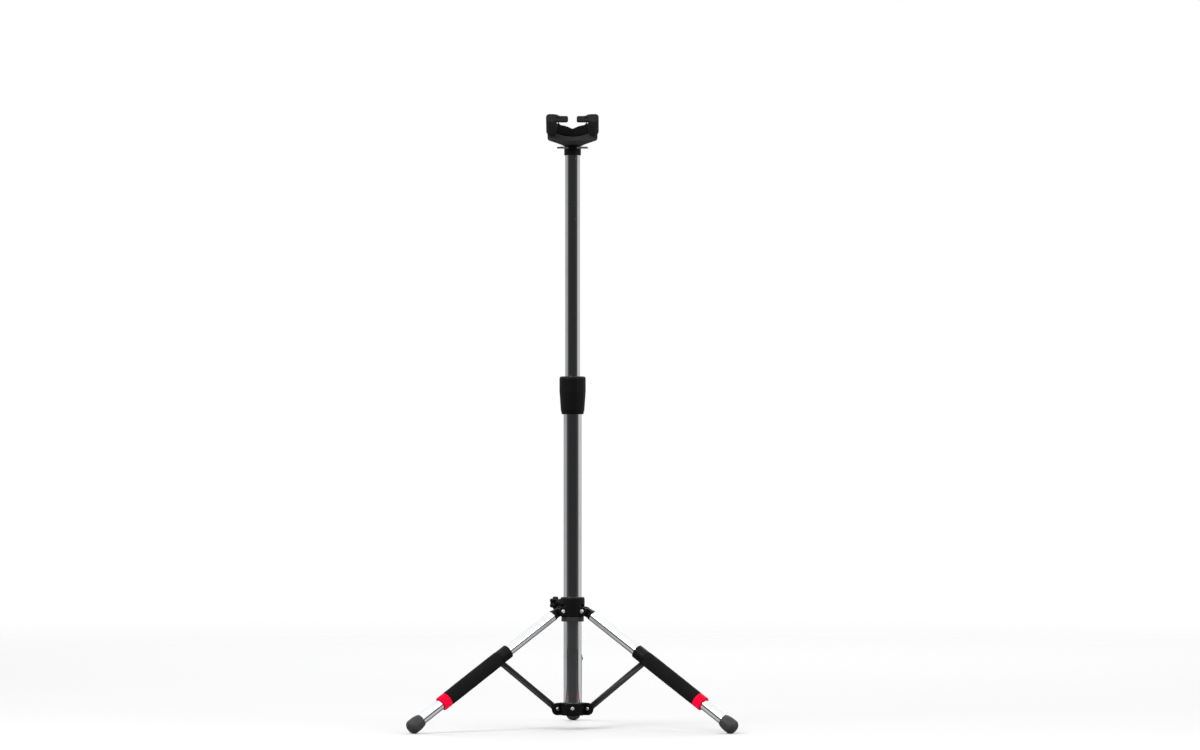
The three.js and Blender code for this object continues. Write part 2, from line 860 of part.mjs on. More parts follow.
const leverGroup = new THREE.Group();
leverGroup.position.set(0, lever.pivotReach, pivotHeight);
stand.add(leverGroup);
const leverHalf = lever.earInner - runningGap;
const leverPaddle = common(
  inYZ(leverOutline(), -lever.width / 2, lever.width / 2, lever.rounding),
  block(
    [-lever.width, lever.width],
    [0, lever.tipReach],
    [-lever.tipDrop - lever.thickness, -lever.paddleDrop],
  ),
);
node(
  "clutch_lever",
  cut(joined(inYZ(leverOutline(), -leverHalf, leverHalf, 0), leverPaddle), pivotHole),
  blackPlastic,
  leverGroup,
);
const leverPin = alongY(rod(lever.pinRadius, -earOuter, earOuter)).rotateZ(Math.PI / 2);
node("lever_pin", leverPin.translate(0, lever.pivotReach, pivotHeight), chrome, stand);

// Inner tube with its guide bush, and on top the collar that the yoke slides on.
const housingFloorDrop = 48.6;
const collar = { radius: 16, height: 17, socket: 12, guideRadius: 11.8, guideWall: 2, guideHeight: 27 };
const guide = { flange: 3.7, spigot: 16, wall: 3.5 };
const bowBar = { radius: 2, length: 59.5, reach: 20, lugHalf: 8, lugDepth: 9, drop: 2.8 };
const collarTop = yokeHeight - housingFloorDrop - seatGap;
const collarBottom = collarTop - collar.height;
const innerTubeTop = collarBottom + collar.socket;
const innerTubeBottom = mainTubeTop - tubeOverlap;
const innerBore = innerTubeRadius - tubeWall;
const springFloor = collarTop + seatGap;
node(
  "inner_tube",
  ring(innerBore, innerTubeRadius, innerTubeBottom, innerTubeTop),
  chrome,
  stand,
);
node(
  "inner_guide",
  turned([
    [innerBore - guide.wall, innerTubeBottom - seatGap - guide.flange],
    [mainBore - runningGap, innerTubeBottom - seatGap - guide.flange],
    [mainBore - runningGap, innerTubeBottom - seatGap],
    [innerBore - runningGap, innerTubeBottom - seatGap],
    [innerBore - runningGap, innerTubeBottom + guide.spigot],
    [innerBore - guide.wall, innerTubeBottom + guide.spigot],
  ]),
  blackPlastic,
  stand,
);
const collarBody = turned([
  [0, innerTubeTop + seatGap],
  [innerTubeRadius + runningGap, innerTubeTop + seatGap],
  [innerTubeRadius + runningGap, collarBottom],
  [collar.radius, collarBottom],
  [collar.radius, collarTop],
  [collar.guideRadius, collarTop],
  [collar.guideRadius, collarTop + collar.guideHeight],
  [collar.guideRadius - collar.guideWall, collarTop + collar.guideHeight],
  [collar.guideRadius - collar.guideWall, springFloor],
  [0, springFloor],
]);
const barHeight = collarTop - bowBar.drop;
const barLug = block(
  [-bowBar.lugHalf, bowBar.lugHalf],
  [-bowBar.reach - bowBar.lugDepth / 2, -collar.radius + overrun],
  [collarTop - 2 * bowBar.drop, collarTop],
);
const barHole = alongX(rod(bowBar.radius + runningGap, -bowBar.length, bowBar.length));
const bar = alongX(rod(bowBar.radius, -bowBar.length / 2, bowBar.length / 2));
node(
  "yoke_collar",
  cut(joined(collarBody, barLug), barHole.translate(0, -bowBar.reach, barHeight)),
  blackPlastic,
  stand,
);
node("bow_bar", bar.translate(0, -bowBar.reach, barHeight), chrome, stand);

// Yoke head: it slides on the collar's guide, and a spring inside lifts it when nothing hangs there.
// Its group has its origin on the post's axis at the height of the gates.
const head = new THREE.Group();
head.position.z = yokeHeight;
stand.add(head);
const cap = { width: 20.2, corner: 6, lowCorner: 9.4, length: 12, rounding: 1.5 };
const sleeve = { ribs: 4, grooveWidth: 2.5, groove: 1.4, rounding: 1 };
const core = { radius: 6.5, shaftRadius: 4, socket: 10, shaftDepth: 18 };
const housing = {
  halfWidth: 47.3,
  bendReach: 21,
  bendDrop: 45.9,
  cornerReach: 42.5,
  cornerDrop: 39.4,
  sideDrop: 33.5,
  sideCornerDrop: 38.4,
  shoulderDrop: 14,
  topReach: 41,
  topDrop: 8.4,
  crestReach: 28.8,
  crestDrop: 6.9,
  valleyDrop: 19.4,
  frontRise: 1,
  frontReach: 47.4,
  back: 19,
  rearTaper: 28,
  lipDrop: 40,
  bossTopDrop: 15.5,
  roof: 3,
  rounding: 2,
};
const sleeveStart = cap.length + seatGap;
const sinArm = Math.sin(radians(armTilt));
const cosArm = Math.cos(radians(armTilt));
const housingStart = (armReach - housing.frontReach) / cosArm;
const sleeveEnd = housingStart - seatGap;
const ribPitch = (sleeveEnd - sleeveStart) / sleeve.ribs;
// A point on the arm's axis, as [Y, Z] in the head's group, and the plane square to the axis there.
const onArm = (along) => [-armReach + along * cosArm, -along * sinArm];
const squareToArm = (along, drop) => {
  const [y, z] = onArm(along);
  const rise = (-drop - z) / cosArm;
  return [y + rise * sinArm, -drop];
};

function housingFront() {
  const shape = new THREE.Shape();
  const { halfWidth, bendReach, bendDrop, cornerReach, cornerDrop, sideDrop, sideCornerDrop } = housing;
  shape.moveTo(-collar.radius, -housingFloorDrop);
  shape.lineTo(collar.radius, -housingFloorDrop);
  shape.quadraticCurveTo(bendReach, -bendDrop, cornerReach, -cornerDrop);
  shape.quadraticCurveTo(halfWidth, -sideCornerDrop, halfWidth, -sideDrop);
  shape.lineTo(halfWidth, -housing.shoulderDrop);
  shape.quadraticCurveTo(halfWidth, -housing.topDrop, housing.topReach, -housing.topDrop);
  shape.lineTo(housing.crestReach, -housing.crestDrop);
  shape.lineTo(0, -housing.valleyDrop);
  shape.lineTo(-housing.crestReach, -housing.crestDrop);
  shape.lineTo(-housing.topReach, -housing.topDrop);
  shape.quadraticCurveTo(-halfWidth, -housing.topDrop, -halfWidth, -housing.shoulderDrop);
  shape.lineTo(-halfWidth, -sideDrop);
  shape.quadraticCurveTo(-halfWidth, -sideCornerDrop, -cornerReach, -cornerDrop);
  shape.quadraticCurveTo(-bendReach, -bendDrop, -collar.radius, -housingFloorDrop);
  return shape;
}

function housingSide() {
  const shape = new THREE.Shape();
  const [frontTop, crest] = squareToArm(housingStart, housing.crestDrop - housing.frontRise);
  const [frontLow, lip] = squareToArm(housingStart, housing.lipDrop);
  const fall = (housing.back - frontTop) * Math.tan(radians(armTilt));
  shape.moveTo(housing.back, -housingFloorDrop);
  shape.lineTo(housing.back, crest - fall);
  shape.lineTo(frontTop, crest);
  shape.lineTo(frontLow, lip);
  shape.lineTo(-collar.radius, -housingFloorDrop);
  shape.closePath();
  return shape;
}

function housingPlan() {
  const shape = new THREE.Shape();
  const { halfWidth, back, rearTaper } = housing;
  shape.absarc(0, 0, back, 0, Math.PI);
  shape.quadraticCurveTo(-back, -rearTaper / 2, -halfWidth, -rearTaper);
  shape.lineTo(-halfWidth, -armReach);
  shape.lineTo(halfWidth, -armReach);
  shape.lineTo(halfWidth, -rearTaper);
  shape.quadraticCurveTo(back, -rearTaper / 2, back, 0);
  return shape;
}

function upright(shape, low, high) {
  return new THREE.ExtrudeGeometry(shape, { depth: high - low, bevelEnabled: false, curveSegments: 6 })
    .translate(0, 0, low);
}

// The saddle: a hollow across the front between the arms, lined with a rubber pad.
const saddle = { reach: 29.4, sideDrop: 26.1, midDrop: 32.3, depth: 12, curve: 9, pad: 3.5, padInset: 0.8 };
const [saddleFace] = squareToArm(housingStart, saddle.sideDrop);
const saddleBack = saddleFace + saddle.depth;

function saddleFront(inset) {
  const shape = new THREE.Shape();
  const reach = saddle.reach - inset;
  shape.moveTo(-reach, -saddle.sideDrop + inset);
  shape.quadraticCurveTo(0, -2 * saddle.midDrop + saddle.sideDrop + inset, reach, -saddle.sideDrop + inset);
  shape.lineTo(reach, cap.width);
  shape.lineTo(-reach, cap.width);
  shape.closePath();
  return shape;
}

// The plan of the hollow, from its curved back to a line in front. The curve is a parabola, so twice as far
// out as the saddle reaches it comes forward four times as far.
function saddlePlan(back, front) {
  const shape = new THREE.Shape();
  const wide = 2 * saddle.reach;
  const curve = 4 * saddle.curve;
  shape.moveTo(-wide, back - curve);
  shape.quadraticCurveTo(0, back + curve, wide, back - curve);
  shape.lineTo(wide, front - curve);
  if (front < back - saddle.depth) shape.lineTo(-wide, front - curve);
  else shape.quadraticCurveTo(0, front + curve, -wide, front - curve);
  shape.closePath();
  return shape;
}

const headLow = -housingFloorDrop - overrun;
const armSides = { left: -1, right: 1 };

// The frame of an arm: X across, Y down, Z from the gate's face back into the housing.
function armGroup(name, parent) {
  const group = new THREE.Group();
  group.position.set((armSides[name] * armSpacing) / 2, -armReach, 0);
  group.rotation.x = -Math.PI / 2 - radians(armTilt);
  parent.add(group);
  return group;
}

function alongArm(name, piece) {
  return solidOf(piece)
    .rotate([-90 - armTilt, 0, 0])
    .translate([(armSides[name] * armSpacing) / 2, -armReach, 0]);
}

const coreEnd = housingStart + core.socket;
const shaftEnd = housingStart + core.shaftDepth;
const socketTools = Object.keys(armSides).flatMap((name) => [
  alongArm(name, rod(core.radius + runningGap, 0, coreEnd + seatGap, roundSides)),
  alongArm(name, rod(core.shaftRadius + runningGap, 0, shaftEnd + seatGap, roundSides)),
]);
const guideBore = collar.guideRadius + runningGap;
const housingRoof = -housing.bossTopDrop - housing.roof;
const housingBlank = common(
  slab(housingFront(), -armReach, 2 * housing.back),
  inYZ(housingSide(), -armReach, armReach, 0),
  upright(housingPlan(), headLow, cap.width),
);
const housingBoss = turned([
  [0, -housingFloorDrop],
  [collar.radius, -housingFloorDrop],
  ...arc([collar.radius - housing.rounding, -housing.bossTopDrop - housing.rounding], housing.rounding),
  [0, -housing.bossTopDrop],
]);
const saddleHollow = common(
  slab(saddleFront(0), -armReach - overrun, 0),
  upright(saddlePlan(saddleBack, -2 * armReach), headLow, 2 * cap.width),
);
node(
  "yoke_housing",
  cut(
    joined(cut(housingBlank, saddleHollow), housingBoss),
    rod(guideBore, headLow, housingRoof, roundSides),
    ...socketTools,
  ),
  blackPlastic,
  head,
);
const padBack = saddleBack - seatGap;
node(
  "saddle_pad",
  common(
    slab(saddleFront(saddle.padInset), -armReach, 0),
    upright(saddlePlan(padBack, padBack - saddle.pad), headLow, cap.width),
    slab(housingFront(), -armReach, 0),
  ),
  rubber,
  head,
);

// Return spring in the guide, between the collar's floor and the housing's roof.
const returnSpring = { wire: 0.9, turns: 7 };
node(
  "return_spring",
  coil(
    collar.guideRadius - collar.guideWall - returnSpring.wire - seatGap,
    returnSpring.wire,
    springFloor + seatGap,
    yokeHeight + housingRoof - seatGap,
    returnSpring.turns,
  ),
  springSteel,
  stand,
);

// Arms: a steel core, a ribbed rubber sleeve, and in the core the shaft of the gate.
const gate = {
  height: 11.6,
  rise: 1,
  start: 2,
  depth: 8,
  rounding: 1.5,
  gap: 16,
  corner: 3.5,
  recessLength: 8,
  recessHeight: 5,
  recessDepth: 1,
};
const shaftStart = cap.length / 3;

// The section of an arm, inset by a distance: square with rounded corners above and nearly round below.
function armOutline(inset) {
  const half = cap.width / 2 - inset;
  const [high, low] = [cap.corner, cap.lowCorner].map((corner) => corner - inset);
  const shape = new THREE.Shape();
  shape.absarc(half - high, high - half, high, -Math.PI / 2, 0);
  shape.absarc(half - low, half - low, low, 0, Math.PI / 2);
  shape.absarc(low - half, half - low, low, Math.PI / 2, Math.PI);
  shape.absarc(high - half, high - half, high, Math.PI, (3 * Math.PI) / 2);
  shape.closePath();
  return shape;
}

// A prism along Z from an outline, with its ends' edges rounded.
function prism(shape, low, high, rounding) {
  return new THREE.ExtrudeGeometry(shape, {
    depth: high - low - 2 * rounding,
    bevelEnabled: rounding > 0,
    bevelSize: rounding,
    bevelThickness: rounding,
    bevelOffset: -rounding,
    bevelSegments: 1,
    curveSegments: 2,
  }).translate(0, 0, low + rounding);
}

// A body through rings of the same outline, each inset by its own amount at its own height.
function lofted(outlineAt, stations) {
  const rings = stations.map(([inset, height]) => outlineAt(inset).map(({ x, y }) => [x, y, height]));
  const count = rings[0].length;
  const faces = [];
  for (let i = 0; i + 1 < rings.length; i += 1) {
    for (let j = 0; j < count; j += 1) {
      const next = (j + 1) % count;
      const low = i * count;
      const high = low + count;
      faces.push(low + j, low + next, high + next, low + j, high + next, high + j);
    }
  }
  const last = (rings.length - 1) * count;
  for (let j = 1; j + 1 < count; j += 1) {
    faces.push(0, j + 1, j, last, last + j, last + j + 1);
  }
  const geometry = new THREE.BufferGeometry();
  geometry.setAttribute("position", new THREE.Float32BufferAttribute(rings.flat(2), 3));
  geometry.setIndex(faces);
  return geometry;
}

function sleeveSolid() {
  const outlineAt = (inset) => armOutline(inset).extractPoints(cornerSteps).shape.slice(0, -1);
  const stations = Array.from({ length: sleeve.ribs }, (_, i) => {
    const start = sleeveStart + i * ribPitch;
    const end = start + ribPitch - sleeve.grooveWidth;
    return [
      [sleeve.rounding, start],
      [0, start + sleeve.rounding],
      [0, end - sleeve.rounding],
      [sleeve.groove, end],
      [sleeve.groove, start + ribPitch - sleeve.rounding],
    ];
  }).flat();
  const bore = rod(core.radius + runningGap, 0, sleeveEnd + overrun, roundSides);
  return cut(lofted(outlineAt, [...stations, [sleeve.groove, sleeveEnd]]), bore);
}

// A gate is a cap over the end of its arm with a finger that reaches halfway across the opening.
function gateSolid(side) {
  const root = side > 0 ? -1 : 1;
  const tip = armSpacing / 2 - gate.gap / 2;
  const fingerLeft = Math.min(0, root * tip);
  const fingerRight = Math.max(0, root * tip);
  const finger = roundedBox(
    fingerLeft,
    fingerRight,
    -gate.rise - gate.height / 2,
    -gate.rise + gate.height / 2,
    gate.corner,
  );
  const recess = new THREE.Shape();
  const edge = root * (cap.width / 2);
  recess.moveTo(edge, -gate.rise - gate.recessHeight / 2);
  recess.lineTo(edge + root * gate.recessLength, -gate.rise);
  recess.lineTo(edge, -gate.rise + gate.recessHeight / 2);
  recess.closePath();
  return cut(
    joined(
      prism(armOutline(0), 0, cap.length, cap.rounding),
      prism(finger, gate.start, gate.start + gate.depth, gate.rounding),
    ),
    prism(recess, gate.start - overrun, gate.start + gate.recessDepth, 0),
    rod(core.shaftRadius + runningGap, shaftStart, cap.length + overrun),
  );
}

for (const name of Object.keys(armSides)) {
  const arm = armGroup(name, head);
  const tube = ring(core.shaftRadius + runningGap, core.radius, sleeveStart, coreEnd);
  node(`arm_core_${name}`, tube, chrome, arm);
  node(`arm_sleeve_${name}`, sleeveSolid(), rubber, arm);
  node(`gate_${name}`, gateSolid(armSides[name]), rubber, arm);
  node(`gate_shaft_${name}`, rod(core.shaftRadius, shaftStart + seatGap, shaftEnd), chrome, arm);
}

// The origin of the part is the middle of its outline on the floor.
const outline = new THREE.Box3().setFromObject(stand, true);
const middle = outline.getCenter(new THREE.Vector3());
const part = new THREE.Group();
stand.position.set(-middle.x, -middle.y, 0);
part.add(stand);

export default part;
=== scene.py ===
import json
import math

import bmesh
import bpy
from mathutils import Matrix, Vector, noise

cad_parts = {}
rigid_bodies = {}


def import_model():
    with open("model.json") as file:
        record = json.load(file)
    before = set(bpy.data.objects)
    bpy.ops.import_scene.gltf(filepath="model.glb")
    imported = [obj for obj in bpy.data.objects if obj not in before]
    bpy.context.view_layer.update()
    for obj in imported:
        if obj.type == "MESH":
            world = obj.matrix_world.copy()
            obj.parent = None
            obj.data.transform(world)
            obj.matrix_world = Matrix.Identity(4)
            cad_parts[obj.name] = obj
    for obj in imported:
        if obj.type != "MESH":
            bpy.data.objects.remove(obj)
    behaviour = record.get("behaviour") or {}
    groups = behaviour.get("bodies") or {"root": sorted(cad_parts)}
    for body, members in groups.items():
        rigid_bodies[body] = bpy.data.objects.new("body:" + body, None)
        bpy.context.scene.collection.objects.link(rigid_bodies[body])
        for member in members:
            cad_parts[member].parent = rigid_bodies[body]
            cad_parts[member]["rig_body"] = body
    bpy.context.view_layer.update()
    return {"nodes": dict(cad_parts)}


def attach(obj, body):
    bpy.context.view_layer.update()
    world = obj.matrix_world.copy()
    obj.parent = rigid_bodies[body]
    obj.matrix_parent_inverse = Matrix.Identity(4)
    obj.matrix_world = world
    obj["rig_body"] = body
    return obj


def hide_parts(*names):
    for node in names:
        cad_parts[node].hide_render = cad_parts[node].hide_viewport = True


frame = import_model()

# Camera: level and far off with a long lens, straight along +Y, so that the stand is seen flat from the
# front. It stands a little to the right of the post, which puts the stand left of the picture's middle.
camera_place = (0.0519, -13.353, 0.6704)
camera_lens = 210.2
camera_sensor = 36.0
camera_sees_to = 200.0
level = math.radians(90)

camera = bpy.data.objects.new("camera", bpy.data.cameras.new("camera"))
camera.data.lens = camera_lens
camera.data.sensor_width = camera_sensor
camera.data.clip_end = camera_sees_to
camera.location = camera_place
camera.rotation_euler = (level, 0, 0)
bpy.context.scene.collection.objects.link(camera)
bpy.context.scene.camera = camera
bpy.context.scene.view_settings.view_transform = "Standard"


def wired(tree, kind, settings=None, **inputs):
    """A node with its settings and inputs. An input is a value, or the socket that feeds it."""
    made = tree.nodes.new(kind)
    for name, value in (settings or {}).items():
        setattr(made, name, value)
    for name, value in inputs.items():
        key = int(name[1:]) if name[0] == "_" and name[1:].isdigit() else name.replace("_", " ")
        socket = made.inputs[key]
        if isinstance(value, bpy.types.NodeSocket):
            tree.links.new(value, socket)
        else:
            socket.default_value = value
    return made


# Studio: white all round for the camera. Metal sees the same white above and grey walls beside the stand. The
# unlit end of the room in front, the dark floor and a curtain far behind give chrome its dark middle.
world = bpy.data.worlds.new("studio")
bpy.context.scene.world = world
world.use_nodes = True
sky = world.node_tree
sky.nodes.clear()
room_light = 0.62
ceiling = (1.22, 1.22, 1.22, 1)
dusk = (0.09, 0.09, 0.092, 1)
unlit = (0.03, 0.03, 0.031, 1)
left_wall = (0.44, 0.44, 0.445, 1)
right_wall = (0.62, 0.62, 0.625, 1)
under_front = (0.035, 0.035, 0.036, 1)
under_back = (0.2, 0.2, 0.205, 1)
under_beside = (0.6, 0.6, 0.605, 1)
curtain = (0.09, 0.09, 0.092, 1)
white = (1, 1, 1, 1)
left_to_right = (-0.4, 0.4)
walls_to_curtain = (0.88, 0.97)
walls_to_dusk = (0.04, -0.3)
dusk_to_unlit = (-0.2, -0.75)
walls_to_ceiling = (0.1, 0.42)
front_to_back = (0.1, 0.8)
middle_to_beside = (0.62, 0.9)
walls_to_floor = (-0.02, -0.2)


def maths(tree, operation, first, second=0.0):
    """One sum on values, such as ADD, MULTIPLY or MAXIMUM."""
    return wired(tree, "ShaderNodeMath", {"operation": operation}, _0=first, _1=second).outputs[0]


def stepped(tree, value, start, end):
    """A value brought to between 0 and 1 in a soft step, from start to end."""
    return wired(tree, "ShaderNodeMapRange", {"interpolation_type": "SMOOTHSTEP"},
                 Value=value, From_Min=start, From_Max=end).outputs[0]


def coloured(tree, share, first, second):
    """The first colour where the share is 0, and the second where it is 1."""
    return wired(tree, "ShaderNodeMix", {"data_type": "RGBA"}, _0=share, _6=first, _7=second).outputs[2]


towards = wired(sky, "ShaderNodeSeparateXYZ", Vector=wired(sky, "ShaderNodeTexCoord").outputs["Generated"])
rightwards, backwards, upwards = towards.outputs
sideways = maths(sky, "ABSOLUTE", rightwards)
walls = coloured(sky, stepped(sky, rightwards, *left_to_right), left_wall, right_wall)
walls = coloured(sky, stepped(sky, backwards, *walls_to_curtain), walls, curtain)
room = coloured(sky, stepped(sky, backwards, *walls_to_dusk), walls, dusk)
room = coloured(sky, stepped(sky, backwards, *dusk_to_unlit), room, unlit)
room = coloured(sky, stepped(sky, upwards, *walls_to_ceiling), room, ceiling)
ground = coloured(sky, stepped(sky, backwards, *front_to_back), under_front, under_back)
ground = coloured(sky, stepped(sky, sideways, *middle_to_beside), ground, under_beside)
room = coloured(sky, stepped(sky, upwards, *walls_to_floor), room, ground)
ray = wired(sky, "ShaderNodeLightPath")
plain = maths(sky, "MAXIMUM", ray.outputs["Is Camera Ray"], ray.outputs["Is Transmission Ray"])
lit = wired(sky, "ShaderNodeBackground", Color=white, Strength=room_light)
reflected = wired(sky, "ShaderNodeBackground", Color=room, Strength=1.0)
backdrop = wired(sky, "ShaderNodeBackground", Color=white, Strength=1.0)
for_metal = wired(sky, "ShaderNodeMixShader",
                  _0=ray.outputs["Is Glossy Ray"], _1=lit.outputs[0], _2=reflected.outputs[0])
for_camera = wired(sky, "ShaderNodeMixShader",
                   _0=plain, _1=for_metal.outputs[0], _2=backdrop.outputs[0])
wired(sky, "ShaderNodeOutputWorld", Surface=for_camera.outputs[0])

# Floor: a pale disc under the stand that fades into the backdrop, so that it has no horizon. Metal hardly
# sees it, as the photograph shows.
floor_reach = 9.0
floor_sides = 96
floor_fades_from = 1.6
floor_fades_to = 6.0
floor_colour = (0.94, 0.94, 0.945, 1)
floor_in_metal = 0.02

mesh = bmesh.new()
bmesh.ops.create_circle(mesh, cap_ends=True, radius=floor_reach, segments=floor_sides)
floor = bpy.data.objects.new("floor", bpy.data.meshes.new("floor"))
mesh.to_mesh(floor.data)
mesh.free()
bpy.context.scene.collection.objects.link(floor)
floor_material = bpy.data.materials.new("pale_floor")
floor_material.use_nodes = True
tree = floor_material.node_tree
tree.nodes.clear()
from_middle = wired(tree, "ShaderNodeVectorMath", {"operation": "LENGTH"},
                    _0=wired(tree, "ShaderNodeTexCoord").outputs["Object"])
fade = stepped(tree, from_middle.outputs["Value"], floor_fades_from, floor_fades_to)
ray = wired(tree, "ShaderNodeLightPath")
hidden = maths(tree, "MULTIPLY", ray.outputs["Is Glossy Ray"], 1 - floor_in_metal)
clear = maths(tree, "MAXIMUM", fade, hidden)
matte = wired(tree, "ShaderNodeBsdfDiffuse", Color=floor_colour)
gone = wired(tree, "ShaderNodeBsdfTransparent")
mixed = wired(tree, "ShaderNodeMixShader", _0=clear, _1=matte.outputs[0], _2=gone.outputs[0])
wired(tree, "ShaderNodeOutputMaterial", Surface=mixed.outputs[0])
floor.data.materials.append(floor_material)

# Softboxes: a large one high in front on the left, a weaker one on the right, and one behind for the edges.
# Each has its place, its size in metres and its power in watts, and faces the middle of the stand.
softboxes = {
    "key": ((-3.2, -3.6, 4.2), 3.0, 150.0),
    "fill": ((3.8, -3.0, 2.6), 2.6, 60.0),
    "back": ((0.6, 4.2, 3.6), 2.6, 60.0),
}
stand_middle = Vector((0, 0, 0.55))
for name, (place, size, power) in softboxes.items():
    lamp = bpy.data.objects.new(name, bpy.data.lights.new(name, "AREA"))
    lamp.data.shape = "DISK"
    lamp.data.size = size
    lamp.data.energy = power
    lamp.location = place
    lamp.rotation_euler = (stand_middle - Vector(place)).to_track_quat("-Z", "Y").to_euler()
    bpy.context.scene.collection.objects.link(lamp)

# Main tube of the post: thin-walled steel, drawn, polished and chrome plated, with its ends deburred. It
# stands in the base hub, and the height clutch is pressed onto its top.
mm = 0.001
up = Vector((0, 0, 1))
tube_edge = 0.4 * mm
fine_steps = 96
corner_steps = 4
same_place = 1e-6
same_point = 1e-7
round_profile = 0.5


def corners_of(node):
    """Every corner of a CAD node once."""
    digits = 7
    vertices = frame["nodes"][node].data.vertices
    places = {tuple(round(part, digits) for part in vertex.co) for vertex in vertices}
    return [Vector(place) for place in places]


def middle_of(node):
    corners = corners_of(node)
    return sum(corners, Vector()) / len(corners)


def span(node, start, direction):
    """Where a CAD node begins and ends along a line, and its least and greatest distance from the line."""
    steps = [corner - start for corner in corners_of(node)]
    along = [step.dot(direction) for step in steps]
    across = [(step - direction * step.dot(direction)).length for step in steps]
    return min(along), max(along), min(across), max(across)


def finished(name, mesh, sharp=50):
    """The object of a bmesh, in place, with smooth shading broken at its sharp edges."""
    piece = bpy.data.objects.new(name, bpy.data.meshes.new(name))
    mesh.to_mesh(piece.data)
    mesh.free()
    piece.data.shade_smooth()
    piece.data.set_sharp_from_angle(angle=math.radians(sharp))
    bpy.context.scene.collection.objects.link(piece)
    return piece


def only(parts, kind):
    return [part for part in parts if isinstance(part, kind)]


def faced_out(mesh):
    mesh.normal_update()
    bmesh.ops.recalc_face_normals(mesh, faces=mesh.faces)


def rounded(mesh, parts, size, steps, kind):
    """Rounds edges, or the corners of flat outlines, with arcs of that size."""
    bmesh.ops.bevel(mesh, geom=parts, offset=size, offset_type="OFFSET", segments=steps,
                    profile=round_profile, affect=kind, material=-1)


def turned(name, outline, start, direction, corner=0.0, steps=64):
    """A round piece. Its outline is of (radius, distance) points, spun about the line from start along
    direction. A third number in a point is that corner's own rounding."""
    mesh = bmesh.new()
    points = [mesh.verts.new((radius, 0, distance)) for radius, distance, *_ in outline]
    hollow = outline[0][0] > 0
    for first, second in zip(points, points[1:] + points[:1] if hollow else points[1:]):
        mesh.edges.new((first, second))
    roundings = {}
    for vertex, point in zip(points, outline):
        rounding = point[2] if len(point) > 2 else corner
        if rounding and point[0] > 0:
            roundings.setdefault(rounding, []).append(vertex)
    for rounding, vertices in roundings.items():
        rounded(mesh, vertices, rounding, corner_steps, "VERTICES")
    # A ring close to each end of a long side keeps the shading's bend at the corner.
    close = corner or tube_edge
    long_side = 4 * close
    for edge in [edge for edge in mesh.edges if edge.calc_length() > long_side]:
        share = close / edge.calc_length()
        first, last = edge.verts
        added = bmesh.utils.edge_split(edge, first, share)[1]
        rest = next(side for side in added.link_edges if last in side.verts)
        bmesh.utils.edge_split(rest, last, share)
    bmesh.ops.spin(mesh, geom=mesh.verts[:] + mesh.edges[:], cent=(0, 0, 0), axis=(0, 0, 1),
                   angle=2 * math.pi, steps=steps, use_merge=True)
    bmesh.ops.remove_doubles(mesh, verts=mesh.verts, dist=same_point)
    faced_out(mesh)
    mesh.transform(Matrix.Translation(start) @ direction.to_track_quat("Z", "Y").to_matrix().to_4x4())
    return finished(name, mesh)


def tube(name, node, start, direction, corner=tube_edge, steps=64):
    """A tube or ring as long, as thick and as wide as its CAD node."""
    low, high, inner, outer = span(node, start, direction)
    outline = [(inner, low), (outer, low), (outer, high), (inner, high)]
    return turned(name, outline, start, direction, corner, steps)


def stands_for(piece, node, look):
    """The piece has that look, takes a CAD node's place and moves with its body."""
    piece.data.materials.clear()
    piece.data.materials.append(look)
    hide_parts(node)
    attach(piece, frame["nodes"][node]["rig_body"])


def effect(name, takes, gives):
    """A new node group with its inputs and outputs, and the nodes that stand for them."""
    group = bpy.data.node_groups.new(name, "ShaderNodeTree")
    for title, default in takes.items():
        kind = "NodeSocketVector" if default is None else "NodeSocketFloat"
        socket = group.interface.new_socket(title, in_out="INPUT", socket_type=kind)
        if default is not None:
            socket.default_value = default
    for title in gives:
        group.interface.new_socket(title, in_out="OUTPUT", socket_type="NodeSocketFloat")
    return group, group.nodes.new("NodeGroupInput"), group.nodes.new("NodeGroupOutput")


def times(tree, first, second):
    return maths(tree, "MULTIPLY", first, second)


def handling_marks():
    """Smears left by hands and cloths, and fine scratches that run round and along a piece."""
    takes = {"Place": None, "Smear Size": 30.0, "Scratch Size": 900.0}
    group, given, result = effect("handling_marks", takes, ["Smears", "Scratches"])
    place = given.outputs["Place"]
    smear = wired(group, "ShaderNodeTexNoise", Vector=place, Scale=given.outputs["Smear Size"],
                  Detail=4.0, Distortion=1.2).outputs[0]
    group.links.new(stepped(group, smear, start=0.42, end=0.72), result.inputs["Smears"])
    along_post, round_post = (1, 1, 0.03), (0.05, 0.05, 1)
    lines = []
    for stretch in (along_post, round_post):
        drawn = wired(group, "ShaderNodeVectorMath", {"operation": "MULTIPLY"}, _0=place, _1=stretch)
        line = wired(group, "ShaderNodeTexNoise", Vector=drawn.outputs[0],
                     Scale=given.outputs["Scratch Size"], Detail=1.0)
        lines.append(stepped(group, line.outputs[0], start=0.66, end=0.74))
    group.links.new(times(group, maths(group, "MAXIMUM", *lines), smear), result.inputs["Scratches"])
    return group


